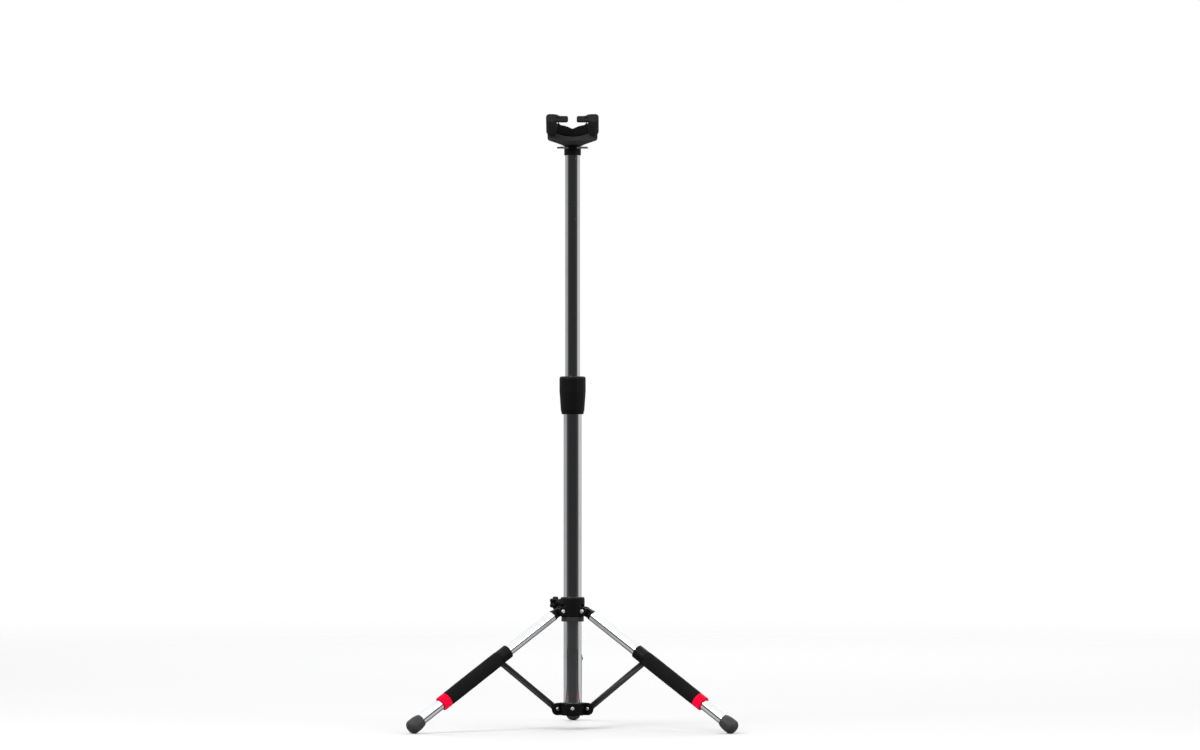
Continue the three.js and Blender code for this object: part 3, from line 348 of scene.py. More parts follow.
def settled_dust():
    """Dust on what faces up, thicker in patches and near the floor."""
    group, given, result = effect("settled_dust", {"Place": None, "Grain": 260.0, "Height": 0.5}, ["Dust"])
    place = given.outputs["Place"]
    normal = wired(group, "ShaderNodeNewGeometry").outputs["Normal"]
    facing = wired(group, "ShaderNodeSeparateXYZ", Vector=normal)
    patches = wired(group, "ShaderNodeTexNoise", Vector=place, Scale=18.0, Detail=3.0)
    specks = wired(group, "ShaderNodeTexNoise", Vector=place, Scale=given.outputs["Grain"], Detail=2.0)
    height = wired(group, "ShaderNodeSeparateXYZ", Vector=place)
    low = wired(group, "ShaderNodeMapRange", Value=height.outputs["Z"], From_Min=0.0,
                From_Max=given.outputs["Height"], To_Min=1.0, To_Max=0.35)
    faces_up = stepped(group, facing.outputs["Z"], start=0.15, end=0.9)
    lying = times(group, faces_up, stepped(group, patches.outputs[0], start=0.3, end=0.7))
    lying = times(group, lying, stepped(group, specks.outputs[0], start=0.35, end=0.65))
    group.links.new(times(group, lying, low.outputs[0]), result.inputs["Dust"])
    return group


marks = handling_marks()
dust = settled_dust()
dust_colour = (0.33, 0.32, 0.3, 1)


def look(name, **settings):
    """A material, its nodes, its shader with all that is the same all over, and its place on the object."""
    material = bpy.data.materials.new(name)
    material.use_nodes = True
    tree = material.node_tree
    tree.nodes.clear()
    shader = wired(tree, "ShaderNodeBsdfPrincipled", **settings)
    wired(tree, "ShaderNodeOutputMaterial", Surface=shader.outputs[0])
    return material, tree, shader, wired(tree, "ShaderNodeTexCoord").outputs["Object"]


def grouped(tree, group, **inputs):
    """The outputs of a node group that is put to use in a material."""
    return wired(tree, "ShaderNodeGroup", {"node_tree": group}, **inputs).outputs


def ranged(tree, value, socket, low, high):
    """The value, taken to between low and high, feeds a socket."""
    scaled = wired(tree, "ShaderNodeMapRange", Value=value, To_Min=low, To_Max=high)
    tree.links.new(scaled.outputs[0], socket)


def dusted(tree, shader, place, tone, share, specks, height):
    """A tone, and a share of the dust that lies on it up to a height, feed the shader's colour."""
    lying = grouped(tree, dust, Place=place, Grain=specks, Height=height)["Dust"]
    mixed = coloured(tree, times(tree, lying, share), tone, dust_colour)
    tree.links.new(mixed, shader.inputs["Base Color"])


def raised(tree, shader, height, depth, strength):
    """Feeds a height to the shader's normal, depth metres from its lowest to its highest."""
    bump = wired(tree, "ShaderNodeBump", Height=height, Distance=depth, Strength=strength)
    tree.links.new(bump.outputs[0], shader.inputs["Normal"])


def chrome_look(name, smooth, hazy):
    """Chrome plate: it is mirror bright where clean, and duller where hands and cloths have smeared it."""
    clean, smeared, dusty = (0.8, 0.81, 0.82, 1), (0.74, 0.745, 0.75, 1), 0.12
    material, tree, shader, place = look(name, Metallic=1.0)
    used = grouped(tree, marks, Place=place, Smear_Size=26.0, Scratch_Size=1400.0)
    tone = coloured(tree, used["Smears"], clean, smeared)
    dusted(tree, shader, place, tone, dusty, specks=420.0, height=0.4)
    ranged(tree, used["Smears"], shader.inputs["Roughness"], low=smooth, high=hazy)
    raised(tree, shader, used["Scratches"], depth=0.004 * mm, strength=0.35)
    return material


chrome = chrome_look("polished_chrome", smooth=0.05, hazy=0.1)
post = middle_of("main_tube")
post.z = 0
main_tube = tube("drawn_main_tube", "main_tube", post, up, steps=fine_steps)
stands_for(main_tube, "main_tube", chrome)

# Base plug: a stopper moulded in black plastic and pushed into the lower end of the post, with a flange that
# meets the tube's edge.
plug_flange = 2.5 * mm
plug_step = 1.2 * mm
moulding_edge = 0.5 * mm


def edge_rub():
    """How far a corner sticks out, where hands and knocks rub it bright, broken up in patches."""
    group, given, result = effect("edge_rub", {"Place": None, "Patch Size": 90.0, "Reach": 0.56}, ["Rubbed"])
    sticks_out = wired(group, "ShaderNodeNewGeometry").outputs["Pointiness"]
    patches = wired(group, "ShaderNodeTexNoise", Vector=given.outputs["Place"],
                    Scale=given.outputs["Patch Size"], Detail=3.0)
    edge = wired(group, "ShaderNodeMapRange",
                 Value=sticks_out, From_Min=0.51, From_Max=given.outputs["Reach"])
    broken_up = stepped(group, patches.outputs[0], start=0.42, end=0.66)
    group.links.new(times(group, edge.outputs[0], broken_up), result.inputs["Rubbed"])
    return group


def moulded_grain():
    """The fine eroded grain of a mould, with slow waves where the plastic sank as it cooled."""
    group, given, result = effect("moulded_grain", {"Place": None, "Grain Size": 2200.0}, ["Grain", "Waves"])
    place = given.outputs["Place"]
    grain = wired(group, "ShaderNodeTexNoise", Vector=place, Scale=given.outputs["Grain Size"], Detail=2.0)
    waves = wired(group, "ShaderNodeTexNoise", Vector=place, Scale=45.0, Detail=2.0)
    group.links.new(grain.outputs[0], result.inputs["Grain"])
    group.links.new(waves.outputs[0], result.inputs["Waves"])
    return group


rub = edge_rub()
grain = moulded_grain()


def moulding_look(name, colour, rubbed, smooth, rough, shine, dusty):
    """Black moulded plastic or rubber: grained, paler where its edges are rubbed, with a little dust."""
    depth_of_tone, rub_share = 0.8, 0.5
    deeper = tuple(depth_of_tone * part for part in colour[:3]) + (1,)
    material, tree, shader, place = look(name, Specular_IOR_Level=shine)
    surface = grouped(tree, grain, Place=place, Grain_Size=2200.0)
    worn = grouped(tree, rub, Place=place, Patch_Size=110.0, Reach=0.58)
    tone = coloured(tree, surface["Waves"], deeper, colour)
    tone = coloured(tree, times(tree, worn["Rubbed"], rub_share), tone, rubbed)
    dusted(tree, shader, place, tone, dusty, specks=700.0, height=0.6)
    ranged(tree, surface["Waves"], shader.inputs["Roughness"], low=smooth, high=rough)
    raised(tree, shader, surface["Grain"], depth=0.03 * mm, strength=0.5)
    return material


hub_plastic = moulding_look("hub_plastic", (0.0025, 0.0025, 0.0027, 1), (0.009, 0.009, 0.0095, 1),
                            smooth=0.45, rough=0.58, shine=0.14, dusty=0.03)
low, high, _, outer = span("base_plug", post, up)
plug_outline = [
    (0, low),
    (outer, low),
    (outer, low + plug_flange),
    (outer - plug_step, low + plug_flange, 0),
    (outer - plug_step, high),
    (0, high),
]
plug = turned("moulded_base_plug", plug_outline, post, up, moulding_edge)
stands_for(plug, "base_plug", hub_plastic)

# Base hub: one moulding in glass-filled black plastic round the foot of the post, with a boss in front and a
# pair of ears for each brace. A rivet through the boss holds it to the tube.


def shaped(piece, kind, **settings):
    """Adds a modifier to a piece and applies it to its mesh."""
    modifier = piece.modifiers.new(kind, kind)
    for name, value in settings.items():
        setattr(modifier, name, value)
    graph = bpy.context.evaluated_depsgraph_get()
    changed = bpy.data.meshes.new_from_object(piece.evaluated_get(graph))
    first = piece.data
    piece.modifiers.clear()
    piece.data = changed
    bpy.data.meshes.remove(first)


def joined(name, pieces):
    """One piece out of several that overlap."""
    mesh = bmesh.new()
    for piece in pieces:
        mesh.from_mesh(piece.data)
        bpy.data.objects.remove(piece)
    return finished(name, mesh)


def softened(piece, cell, passes):
    """Gives a piece one fine skin, with its edges and inner corners rounded as a mould rounds them."""
    half_way = 0.5
    shaped(piece, "REMESH", mode="VOXEL", voxel_size=cell)
    mesh = bmesh.new()
    mesh.from_mesh(piece.data)
    for _ in range(passes):
        bmesh.ops.smooth_vert(mesh, verts=mesh.verts, factor=half_way,
                              use_axis_x=True, use_axis_y=True, use_axis_z=True)
    mesh.to_mesh(piece.data)
    mesh.free()
    piece.data.shade_smooth()


outline_steps = 10
edge_steps = 3


def plate(name, corners, low, high, edge, place):
    """A flat piece with an outline of (x, y, rounding) points, from low to high, its edges rounded."""
    mesh = bmesh.new()
    points = [mesh.verts.new((x, y, low)) for x, y, _ in corners]
    mesh.faces.new(points)
    for rounding in sorted({rounding for _, _, rounding in corners if rounding}):
        chosen = [point for point, (_, _, own) in zip(points, corners) if own == rounding]
        rounded(mesh, chosen, rounding, outline_steps, "VERTICES")
    bmesh.ops.remove_doubles(mesh, verts=mesh.verts, dist=same_place)
    rim = mesh.edges[:]
    raised_part = bmesh.ops.extrude_face_region(mesh, geom=mesh.faces[:])["geom"]
    lifted = only(raised_part, bmesh.types.BMVert)
    rim += only(raised_part, bmesh.types.BMEdge)
    bmesh.ops.translate(mesh, verts=lifted, vec=(0, 0, high - low))
    mesh.transform(place)
    faced_out(mesh)
    if edge:
        rounded(mesh, rim, edge, edge_steps, "EDGES")
    return finished(name, mesh, sharp=35)


def block(left, right, bottom, top, rounding):
    """The outline of a rectangle with rounded corners. Rounded by half its width, its ends are round."""
    corners = ((left, bottom), (right, bottom), (right, top), (left, top))
    return [(*corner, rounding) for corner in corners]


def frame_of(origin, x_axis, z_axis):
    """The matrix that puts a piece drawn flat at its place on the stand."""
    turn = Matrix((x_axis, z_axis.cross(x_axis), z_axis)).transposed().to_4x4()
    return Matrix.Translation(origin) @ turn


def cut_away(piece, cutter):
    shaped(piece, "BOOLEAN", object=cutter, operation="DIFFERENCE", solver="MANIFOLD")
    bpy.data.objects.remove(cutter)


def drilled(piece, start, direction, radius, reach):
    """Cuts a round hole through a piece, along the line from start to reach on both sides."""
    drill = turned("drill", [(0, -reach), (radius, -reach), (radius, reach), (0, reach)], start, direction)
    cut_away(piece, drill)


def ends(node):
    """The middles of a sloping tube's upper and lower end."""
    corners = corners_of(node)
    middle = sum(corners, Vector()) / len(corners)
    upper = [corner for corner in corners if corner.z > middle.z]
    lower = [corner for corner in corners if corner.z <= middle.z]
    return sum(upper, Vector()) / len(upper), sum(lower, Vector()) / len(lower)


right = Vector((1, 0, 0))
front = Vector((0, -1, 0))
leg_names = ("left", "right", "rear")
leg_lines = {}
for leg in leg_names:
    top, bottom = ends(f"leg_tube_{leg}")
    along = (bottom - top).normalized()
    outwards = Vector((along.x, along.y, 0)).normalized()
    leg_lines[leg] = (top, along, outwards, up.cross(outwards))

hub_inside = 16.0 * mm
hub_outside = 22.0 * mm
hub_half_height = 12.0 * mm
boss_half_width = 14.0 * mm
boss_half_height = 12.1 * mm
boss_corner = 4.0 * mm
boss_reach = 26.0 * mm
boss_edge = 1.5 * mm
near_ear = (hub_half_height, 11.5 * mm, 14.5 * mm)
far_ear = (5.6 * mm, 17.5 * mm, 20.5 * mm)
ear_length = 18.0 * mm
web_from = 21.0 * mm
web_to = 6.7 * mm
web_corner = 3.0 * mm
ear_edge = 0.8 * mm
post_bore = 17.3 * mm
pin_bore = 2.9 * mm

low = span("base_hub", post, up)[0]
hub_middle = post + up * middle_of("brace_pin_left").z
boss_middle = post + up * (low + boss_half_height)
hub_low, hub_high = hub_middle.z - hub_half_height, hub_middle.z + hub_half_height
ring_outline = [
    (hub_inside, hub_low),
    (hub_outside, hub_low),
    (hub_outside, hub_high),
    (hub_inside, hub_high),
]
hub_parts = [turned("hub_ring", ring_outline, post, up, steps=fine_steps)]
boss = block(-boss_half_width, boss_half_width, -boss_half_height, boss_half_height, boss_corner)
place = frame_of(boss_middle, right, front)
hub_parts.append(plate("hub_boss", boss, 0, boss_reach, boss_edge, place))
for leg in leg_names:
    outwards, across = leg_lines[leg][2:]
    beside = (middle_of(f"brace_{leg}") - post).dot(across)
    thick = -across if beside < 0 else across
    pivot = middle_of(f"brace_pin_{leg}")
    pivot -= across * (pivot - post).dot(across)
    place = Matrix.Translation(pivot) @ Matrix((outwards, up, thick)).transposed().to_4x4()
    for radius, inner, outer in (near_ear, far_ear):  # Each ear's radius, and its two faces.
        ear = block(-ear_length - radius, radius, -radius, radius, radius)
        hub_parts.append(plate("hub_ear", ear, inner, outer, ear_edge, place))
    web = block(-web_from, -web_to, -hub_half_height, hub_half_height, web_corner)
    hub_parts.append(plate("hub_web", web, near_ear[1], far_ear[2], ear_edge, place))
base_hub = joined("moulded_base_hub", hub_parts)
softened(base_hub, cell=0.55 * mm, passes=6)
drilled(base_hub, hub_middle, up, post_bore, reach=30 * mm)
drilled(base_hub, middle_of("hub_rivet"), front, pin_bore, reach=8 * mm)
for leg in leg_names:
    drilled(base_hub, middle_of(f"brace_pin_{leg}"), leg_lines[leg][3], pin_bore, reach=15 * mm)
stands_for(base_hub, "base_hub", hub_plastic)

# Rivets and pins: plated steel with domed heads, satin where the rivet tool has pressed them. One holds the
# base hub to the post, and each brace turns on one between the ears of the base hub.
head_height = 1.8 * mm
head_dome = 0.75 * head_height
pin_steps = 40
pin_metal = chrome_look("pressed_pin_metal", smooth=0.38, hazy=0.52)
pin_radius = 2.6 * mm


def riveted(name, node, direction, shank, heads=2):
    """A pin along direction with a domed head on its end, or on both ends."""
    start = middle_of(node)
    low, high, _, head = span(node, start, direction)
    outline = [(head, high - head_height), (head, high, head_dome), (0, high)]
    outline = [(shank, high - head_height, 0)] + outline
    if heads == 2:
        under_head = low + head_height
        outline = [(0, low), (head, low, head_dome), (head, under_head), (shank, under_head, 0)] + outline
    else:
        outline = [(0, low), (shank, low)] + outline
    pin = turned(name, outline, start, direction, corner=0.15 * mm, steps=pin_steps)
    stands_for(pin, node, pin_metal)


riveted("domed_hub_rivet", "hub_rivet", front, pin_radius, heads=1)
for leg in leg_names:
    riveted(f"domed_brace_pin_{leg}", f"brace_pin_{leg}", leg_lines[leg][3], pin_radius)

# Braces: three flat strips of black painted steel, blanked with round ends and a hole for a pin at each end.
# They keep the legs spread, and fold up along the post with them.
brace_width = 11.6 * mm
brace_edge = 0.4 * mm


def paint_look():
    """Black powder paint on steel: a fine orange-peel skin, worn thin and brown on its edges."""
    deeper, paler = (0.021, 0.0175, 0.0175, 1), (0.03, 0.027, 0.027, 1)
    brown, rub_share, dusty = (0.09, 0.075, 0.065, 1), 0.15, 0.05
    material, tree, shader, place = look("black_paint", Specular_IOR_Level=0.35)
    surface = grouped(tree, grain, Place=place, Grain_Size=700.0)
    worn = grouped(tree, rub, Place=place, Patch_Size=160.0, Reach=0.6)
    tone = coloured(tree, surface["Waves"], deeper, paler)
    tone = coloured(tree, times(tree, worn["Rubbed"], rub_share), tone, brown)
    dusted(tree, shader, place, tone, dusty, specks=700.0, height=0.4)
    ranged(tree, surface["Waves"], shader.inputs["Roughness"], low=0.4, high=0.55)
    raised(tree, shader, surface["Grain"], depth=0.05 * mm, strength=0.35)
    return material


paint = paint_look()
for leg in leg_names:
    across = leg_lines[leg][3]
    pin = middle_of(f"brace_pin_{leg}")
    rivet = middle_of(f"bracket_rivet_{leg}")
    rivet -= across * (rivet - pin).dot(across)
    length = (rivet - pin).length
    half = brace_width / 2
    outline = block(-half, length + half, -half, half, half)
    low, high, _, _ = span(f"brace_{leg}", pin, across)
    place = frame_of(pin, (rivet - pin).normalized(), across)
    strip = plate(f"blanked_brace_{leg}", outline, low, high, brace_edge, place)
    for hole in (pin, rivet):
        drilled(strip, hole, across, pin_bore, reach=40 * mm)
    stands_for(strip, f"brace_{leg}", paint)

# Stop ring: a turned steel collar, painted black and fixed on the post. The sliding hub rests on it when the
# legs are spread.
stop_ring = tube("turned_stop_ring", "stop_ring", post, up, corner=0.6 * mm, steps=fine_steps)
stands_for(stop_ring, "stop_ring", paint)

# Sliding hub: a black moulding that runs on the post, with a clevis for each leg and a boss for the lock
# knob. The legs hang in it on plated pins.
leg_pin_radius = 3 * mm


def moulded(name, node, look, cell, passes):
    """A fine mesh on the form of a CAD node, softened as a moulding is."""
    mesh = bmesh.new()
    mesh.from_mesh(frame["nodes"][node].data)
    bmesh.ops.remove_doubles(mesh, verts=mesh.verts, dist=same_place)
    piece = finished(name, mesh)
    softened(piece, cell, passes)
    stands_for(piece, node, look)
    return piece


moulded("moulded_leg_hub", "leg_hub", hub_plastic, cell=0.7 * mm, passes=6)
for leg in leg_names:
    riveted(f"domed_leg_pin_{leg}", f"leg_pin_{leg}", leg_lines[leg][3], leg_pin_radius)

# Lock knob: a black moulding with five lobes on a plated steel screw. The screw runs in a boss of the sliding
# hub, and its end presses on the post.
thread_pitch = 1.0 * mm
thread_depth = 0.45 * mm
moulded("moulded_hub_knob", "hub_knob", hub_plastic, cell=0.45 * mm, passes=6)
screw_start = middle_of("knob_screw")
knob_way = middle_of("hub_knob") - screw_start
knob_way.z = 0
knob_way.normalize()
low, high, _, outer = span("knob_screw", screw_start, knob_way)
root = outer - thread_depth
thread = [(0, low), (root, low)]
turns = int((high - low) / thread_pitch) - 1
for turn in range(turns):
    start = low + (turn + 0.5) * thread_pitch
    thread += [(root, start, 0), (outer, start + thread_pitch / 2, 0)]
thread += [(root, high), (0, high)]
screw = turned("threaded_knob_screw", thread, screw_start, knob_way, corner=0.1 * mm, steps=pin_steps)
stands_for(screw, "knob_screw", chrome)

# Legs: three drawn steel tubes, chrome plated like the post. Each hangs from the sliding hub, and the end of
# a brace holds it part of the way down.
for leg in leg_names:
    top, along = leg_lines[leg][:2]
    leg_tube = tube(f"drawn_leg_tube_{leg}", f"leg_tube_{leg}", top, along)
    stands_for(leg_tube, f"leg_tube_{leg}", chrome)

# Leg fittings: a black moulded knuckle plugs the top of each leg and hangs on the hub's pin. A moulded
# bracket round the tube takes the end of the brace on a rivet with one head.
fitting_cell = 0.55 * mm
fitting_passes = 5
for leg in leg_names:
    for fitting in ("leg_knuckle", "brace_bracket"):
        moulded(f"moulded_{fitting}_{leg}", f"{fitting}_{leg}", hub_plastic,
                fitting_cell, fitting_passes)
    across = leg_lines[leg][3]
    beside = (middle_of(f"bracket_rivet_{leg}") - middle_of(f"brace_{leg}")).dot(across)
    headed = across if beside > 0 else -across
    riveted(f"domed_bracket_rivet_{leg}", f"bracket_rivet_{leg}", headed, pin_radius, heads=1)

# Feet: grey-black rubber boots pushed over the ends of the legs, with a rolled mouth, a flared body and a
# round nose. The side that stands on the floor is worn flat.
foot_mouth = 11.7 * mm
foot_shoulder = 9.0 * mm
foot_nose = 9.0 * mm
foot_waist = 5.0 * mm
foot_lip = 0.9 * mm
foot_edge = 0.5 * mm
foot_socket = 20.3 * mm
foot_play = 0.3 * mm
boot = moulding_look("foot_rubber", (0.034, 0.034, 0.0345, 1), (0.07, 0.07, 0.069, 1),
                     smooth=0.5, rough=0.62, shine=0.4, dusty=0.06)
for leg in leg_names:
    top, along = leg_lines[leg][:2]
    low, high, _, outer = span(f"foot_{leg}", top, along)
    bore = span(f"leg_tube_{leg}", top, along)[3] + foot_play
    outline = [
        (0, high),
        (outer, high, foot_nose),
        (outer, low + foot_shoulder, foot_waist),
        (foot_mouth, low, foot_lip),
        (bore, low),
        (bore, low + foot_socket),
        (0, low + foot_socket),
    ]
    foot = turned(f"moulded_foot_{leg}", outline, top, along, foot_edge, fine_steps)
    mesh = bmesh.new()
    mesh.from_mesh(foot.data)
    everything = mesh.verts[:] + mesh.edges[:] + mesh.faces[:]
    cut = bmesh.ops.bisect_plane(mesh, geom=everything, plane_co=(0, 0, 0), plane_no=up, clear_inner=True)
    rim = only(cut["geom_cut"], bmesh.types.BMEdge)
    bmesh.ops.holes_fill(mesh, edges=rim)
    mesh.to_mesh(foot.data)
    mesh.free()
    stands_for(foot, f"foot_{leg}", boot)

# Foam sleeves: extruded black foam rubber, pushed over the front legs to cushion what leans there. It bulges
# a little between its cut ends, and hands have left shallow hollows in it.
sleeve_swell = 0.35 * mm
sleeve_hollows = 0.22 * mm
sleeve_fullness = 0.4
hollows_per_metre = 45
sleeve_end = 1.6 * mm
sleeve_bore_edge = 0.3 * mm
sleeve_rings = 110
first_ring = 3


def foam_look():
    """Closed-cell foam with a skin: small cells that show as pits, scuffed a little grey by hands."""
    deeper, paler = (0.0045, 0.0045, 0.0045, 1), (0.0085, 0.0085, 0.0085, 1)
    scuffed, scuff_share, dusty = (0.012, 0.012, 0.012, 1), 0.3, 0.02
    cell_share = 0.6
    material, tree, shader, place = look("sleeve_foam", Specular_IOR_Level=0.12)
    cells = wired(tree, "ShaderNodeTexVoronoi", {"feature": "DISTANCE_TO_EDGE"}, Vector=place, Scale=1100.0)
    pits = wired(tree, "ShaderNodeTexNoise", Vector=place, Scale=420.0, Detail=3.0)
    used = grouped(tree, marks, Place=place, Smear_Size=38.0, Scratch_Size=500.0)
    tone = coloured(tree, pits.outputs[0], deeper, paler)
    tone = coloured(tree, times(tree, used["Smears"], scuff_share), tone, scuffed)
    dusted(tree, shader, place, tone, dusty, specks=520.0, height=0.3)
    ranged(tree, pits.outputs[0], shader.inputs["Roughness"], low=0.82, high=0.98)
    height = maths(tree, "ADD", times(tree, cells.outputs[0], cell_share), pits.outputs[0])
    raised(tree, shader, height, depth=0.12 * mm, strength=0.6)
    return material


foam = foam_look()
for leg in leg_names[:2]:
    top, along = leg_lines[leg][:2]
    node = f"leg_grip_{leg}"
    low, high, inner, outer = span(node, top, along)
    skin = outer - sleeve_swell
    outline = [(inner, low), (skin, low, sleeve_end)]
    for ring in range(first_ring, sleeve_rings + 1 - first_ring):
        outline.append((skin, low + (high - low) * ring / sleeve_rings, 0))
    outline += [(skin, high, sleeve_end), (inner, high)]
    sleeve = turned(f"foam_sleeve_{leg}", outline, top, along, sleeve_bore_edge, fine_steps)
    for vertex in sleeve.data.vertices:
        step = vertex.co - top
        reach = step.dot(along)
        out = step - along * reach
        if out.length > (inner + skin) / 2:
            share = (reach - low) / (high - low)
            swell = sleeve_swell * math.sin(math.pi * share) ** sleeve_fullness if 0 < share < 1 else 0
            worn_in = noise.noise(vertex.co * hollows_per_metre, noise_basis="PERLIN_ORIGINAL")
            vertex.co += out.normalized() * (swell - sleeve_hollows * abs(worn_in))
    stands_for(sleeve, node, foam)

# Rings under the foam sleeves: bright pink-red plastic, moulded and glued on the leg. The mouth of each is
# hollowed, so that a dark line shows between the ring and the tube.
ring_mouth = 11.0 * mm
ring_mouth_depth = 4.0 * mm
ring_bottom_edge = 1.5 * mm
ring_top_edge = 0.8 * mm
ring_bore_edge = 0.3 * mm
ring_lip = 0.4 * mm


def ring_look():
    """Dyed plastic with a fine grain, its colour a touch deeper in the slow waves of the moulding."""
    deeper, paler, dusty = (0.84, 0.0, 0.034, 1), (0.93, 0.0, 0.042, 1), 0.015
    material, tree, shader, place = look("ring_red", Specular_IOR_Level=0.06)
    surface = grouped(tree, grain, Place=place, Grain_Size=1800.0)
    tone = coloured(tree, surface["Waves"], deeper, paler)
    dusted(tree, shader, place, tone, dusty, specks=700.0, height=0.3)
    ranged(tree, surface["Waves"], shader.inputs["Roughness"], low=0.5, high=0.6)
    raised(tree, shader, surface["Grain"], depth=0.02 * mm, strength=0.4)
    return material


ring_red = ring_look()
for leg in leg_names[:2]:
    top, along = leg_lines[leg][:2]
    low, high, inner, outer = span(f"leg_ring_{leg}", top, along)
    outline = [
        (inner, low, ring_bore_edge),
        (outer, low),
        (outer, high, ring_bottom_edge),
        (ring_mouth, high, ring_lip),
        (ring_mouth, high - ring_mouth_depth, 0),
        (inner, high - ring_mouth_depth, 0),
    ]
    ring = turned(f"glued_ring_{leg}", outline, top, along, ring_top_edge, fine_steps)
    stands_for(ring, f"leg_ring_{leg}", ring_red)

# Height clutch: a black housing on the main tube's top. In it a steel plate tilts and grips the inner tube,
# held down by a spring, and a lever at the back lifts the plate's rear edge.
moulded("moulded_clutch_body", "clutch_body", hub_plastic, cell=0.75 * mm, passes=5)
moulded("moulded_clutch_lever", "clutch_lever", hub_plastic, cell=0.6 * mm, passes=6)


def rod(name, node, direction, corner):
    """A round rod along direction, as long and as thick as its CAD node."""
    start = middle_of(node)
    low, high, _, outer = span(node, start, direction)
    outline = [(0, low), (outer, low), (outer, high), (0, high)]
    return turned(name, outline, start, direction, corner, pin_steps)


bush_rubber = moulding_look("bush_rubber", (0.02, 0.02, 0.021, 1), (0.04, 0.04, 0.04, 1),
                            smooth=0.65, rough=0.8, shine=0.3, dusty=0.05)
bush = tube("turned_clutch_bush", "clutch_bush", post, up, corner=0.3 * mm)
stands_for(bush, "clutch_bush", bush_rubber)
lever_pin = rod("turned_lever_pin", "lever_pin", right, corner=0.4 * mm)
stands_for(lever_pin, "lever_pin", chrome)


def spring_look():
    """Drawn spring wire: finely scratched, with a trace of oil that dulls it in patches."""
    dry, oiled = (0.52, 0.52, 0.54, 1), (0.4, 0.39, 0.38, 1)
    material, tree, shader, place = look("spring_wire", Metallic=1.0)
    used = grouped(tree, marks, Place=place, Smear_Size=120.0, Scratch_Size=3000.0)
    tree.links.new(coloured(tree, used["Smears"], dry, oiled), shader.inputs["Base Color"])
    ranged(tree, used["Smears"], shader.inputs["Roughness"], low=0.25, high=0.42)
    raised(tree, shader, used["Scratches"], depth=0.01 * mm, strength=0.5)
    return material


spring_wire = spring_look()
frame["nodes"]["grip_spring"].material_slots[0].material = spring_wire
frame["nodes"]["grip_plate"].material_slots[0].material = paint

# Inner tube: the upper, thinner tube of the post, drawn and chrome plated like the main tube. A moulded guide
# bush is plugged in its lower end and runs in the main tube.
guide_flange = 3.7 * mm
guide_wall = 3.2 * mm
inner_tube = tube("drawn_inner_tube", "inner_tube", post, up, steps=fine_steps)
stands_for(inner_tube, "inner_tube", chrome)
low, high, inner, outer = span("inner_guide", post, up)
guide_outline = [
    (inner, low),
    (outer, low),
    (outer, low + guide_flange),
    (inner + guide_wall, low + guide_flange, 0),
    (inner + guide_wall, high),
    (inner, high),
]
guide = turned("moulded_inner_guide", guide_outline, post, up, moulding_edge)
stands_for(guide, "inner_guide", hub_plastic)

# Collar on top of the inner tube: a black moulding that guides the yoke and its spring, with a lug in front
# that holds the bar. The bar is a straight plated rod, dulled by what hangs on it.
moulded("moulded_yoke_collar", "yoke_collar", hub_plastic, cell=0.6 * mm, passes=5)
bar_chrome = chrome_look("dulled_chrome", smooth=0.42, hazy=0.56)
bar = rod("drawn_bow_bar", "bow_bar", right, corner=1.2 * mm)
stands_for(bar, "bow_bar", bar_chrome)
frame["nodes"]["return_spring"].material_slots[0].material = spring_wire

# Yoke housing: a black moulding that slides on the collar, with a hollow across its front for the saddle pad
# and a socket for the core of each arm.
# The housing's black is paler than the hub's. This is painted light: a lighter base colour that stands in for
# the light its sloping front face catches from above.
yoke_plastic_with_painted_light = moulding_look("yoke_plastic_with_painted_light", (0.026, 0.026, 0.027, 1), (0.045, 0.045, 0.045, 1),
                             smooth=0.5, rough=0.65, shine=0.25, dusty=0.04)
moulded("moulded_yoke_housing", "yoke_housing", yoke_plastic_with_painted_light, cell=0.55 * mm, passes=10)

# Saddle pad: a moulded rubber lining, glued in the hollow of the housing. Its upper edge swells in the middle
# and has a low hump at each end.
pad_lifted = (7.0 * mm, 1.0 * mm)
pad_swell = 2.6 * mm
swell_fades = (10.0 * mm, 25.0 * mm)
pad_hump = 2.8 * mm
hump_rises = (6.0 * mm, 2.6 * mm)
hump_falls = (2.4 * mm, 0.0)
pad_spread = 0.4 * mm
pad_rubber = moulding_look("pad_rubber", (0.0032, 0.0032, 0.0032, 1), (0.008, 0.008, 0.008, 1),
                           smooth=0.7, rough=0.85, shine=0.15, dusty=0.03)
pad = moulded("moulded_saddle_pad", "saddle_pad", pad_rubber, cell=0.32 * mm, passes=8)


def eased(value, start, end):
    """A number brought to between 0 and 1, from start to end."""
    share = min(max((value - start) / (end - start), 0), 1)
    return share * share * (3 - 2 * share)


pad_end = max(vertex.co.x for vertex in pad.data.vertices)
pad_top = max(vertex.co.z for vertex in pad.data.vertices)
pad_middle = max(vertex.co.z for vertex in pad.data.vertices if abs(vertex.co.x) < mm)
for vertex in pad.data.vertices:
    out = abs(vertex.co.x)
    edge = pad_middle + (pad_top - pad_middle) * out / pad_end
    at_end, past_hump = [eased(pad_end - out, *reach) for reach in (hump_rises, hump_falls)]
    lift = pad_swell * (1 - eased(out, *swell_fades)) + pad_hump * (at_end - past_hump)
    vertex.co.z += lift * eased(vertex.co.z, edge - pad_lifted[0], edge - pad_lifted[1])
    vertex.co.x += math.copysign(pad_spread, vertex.co.x) * at_end

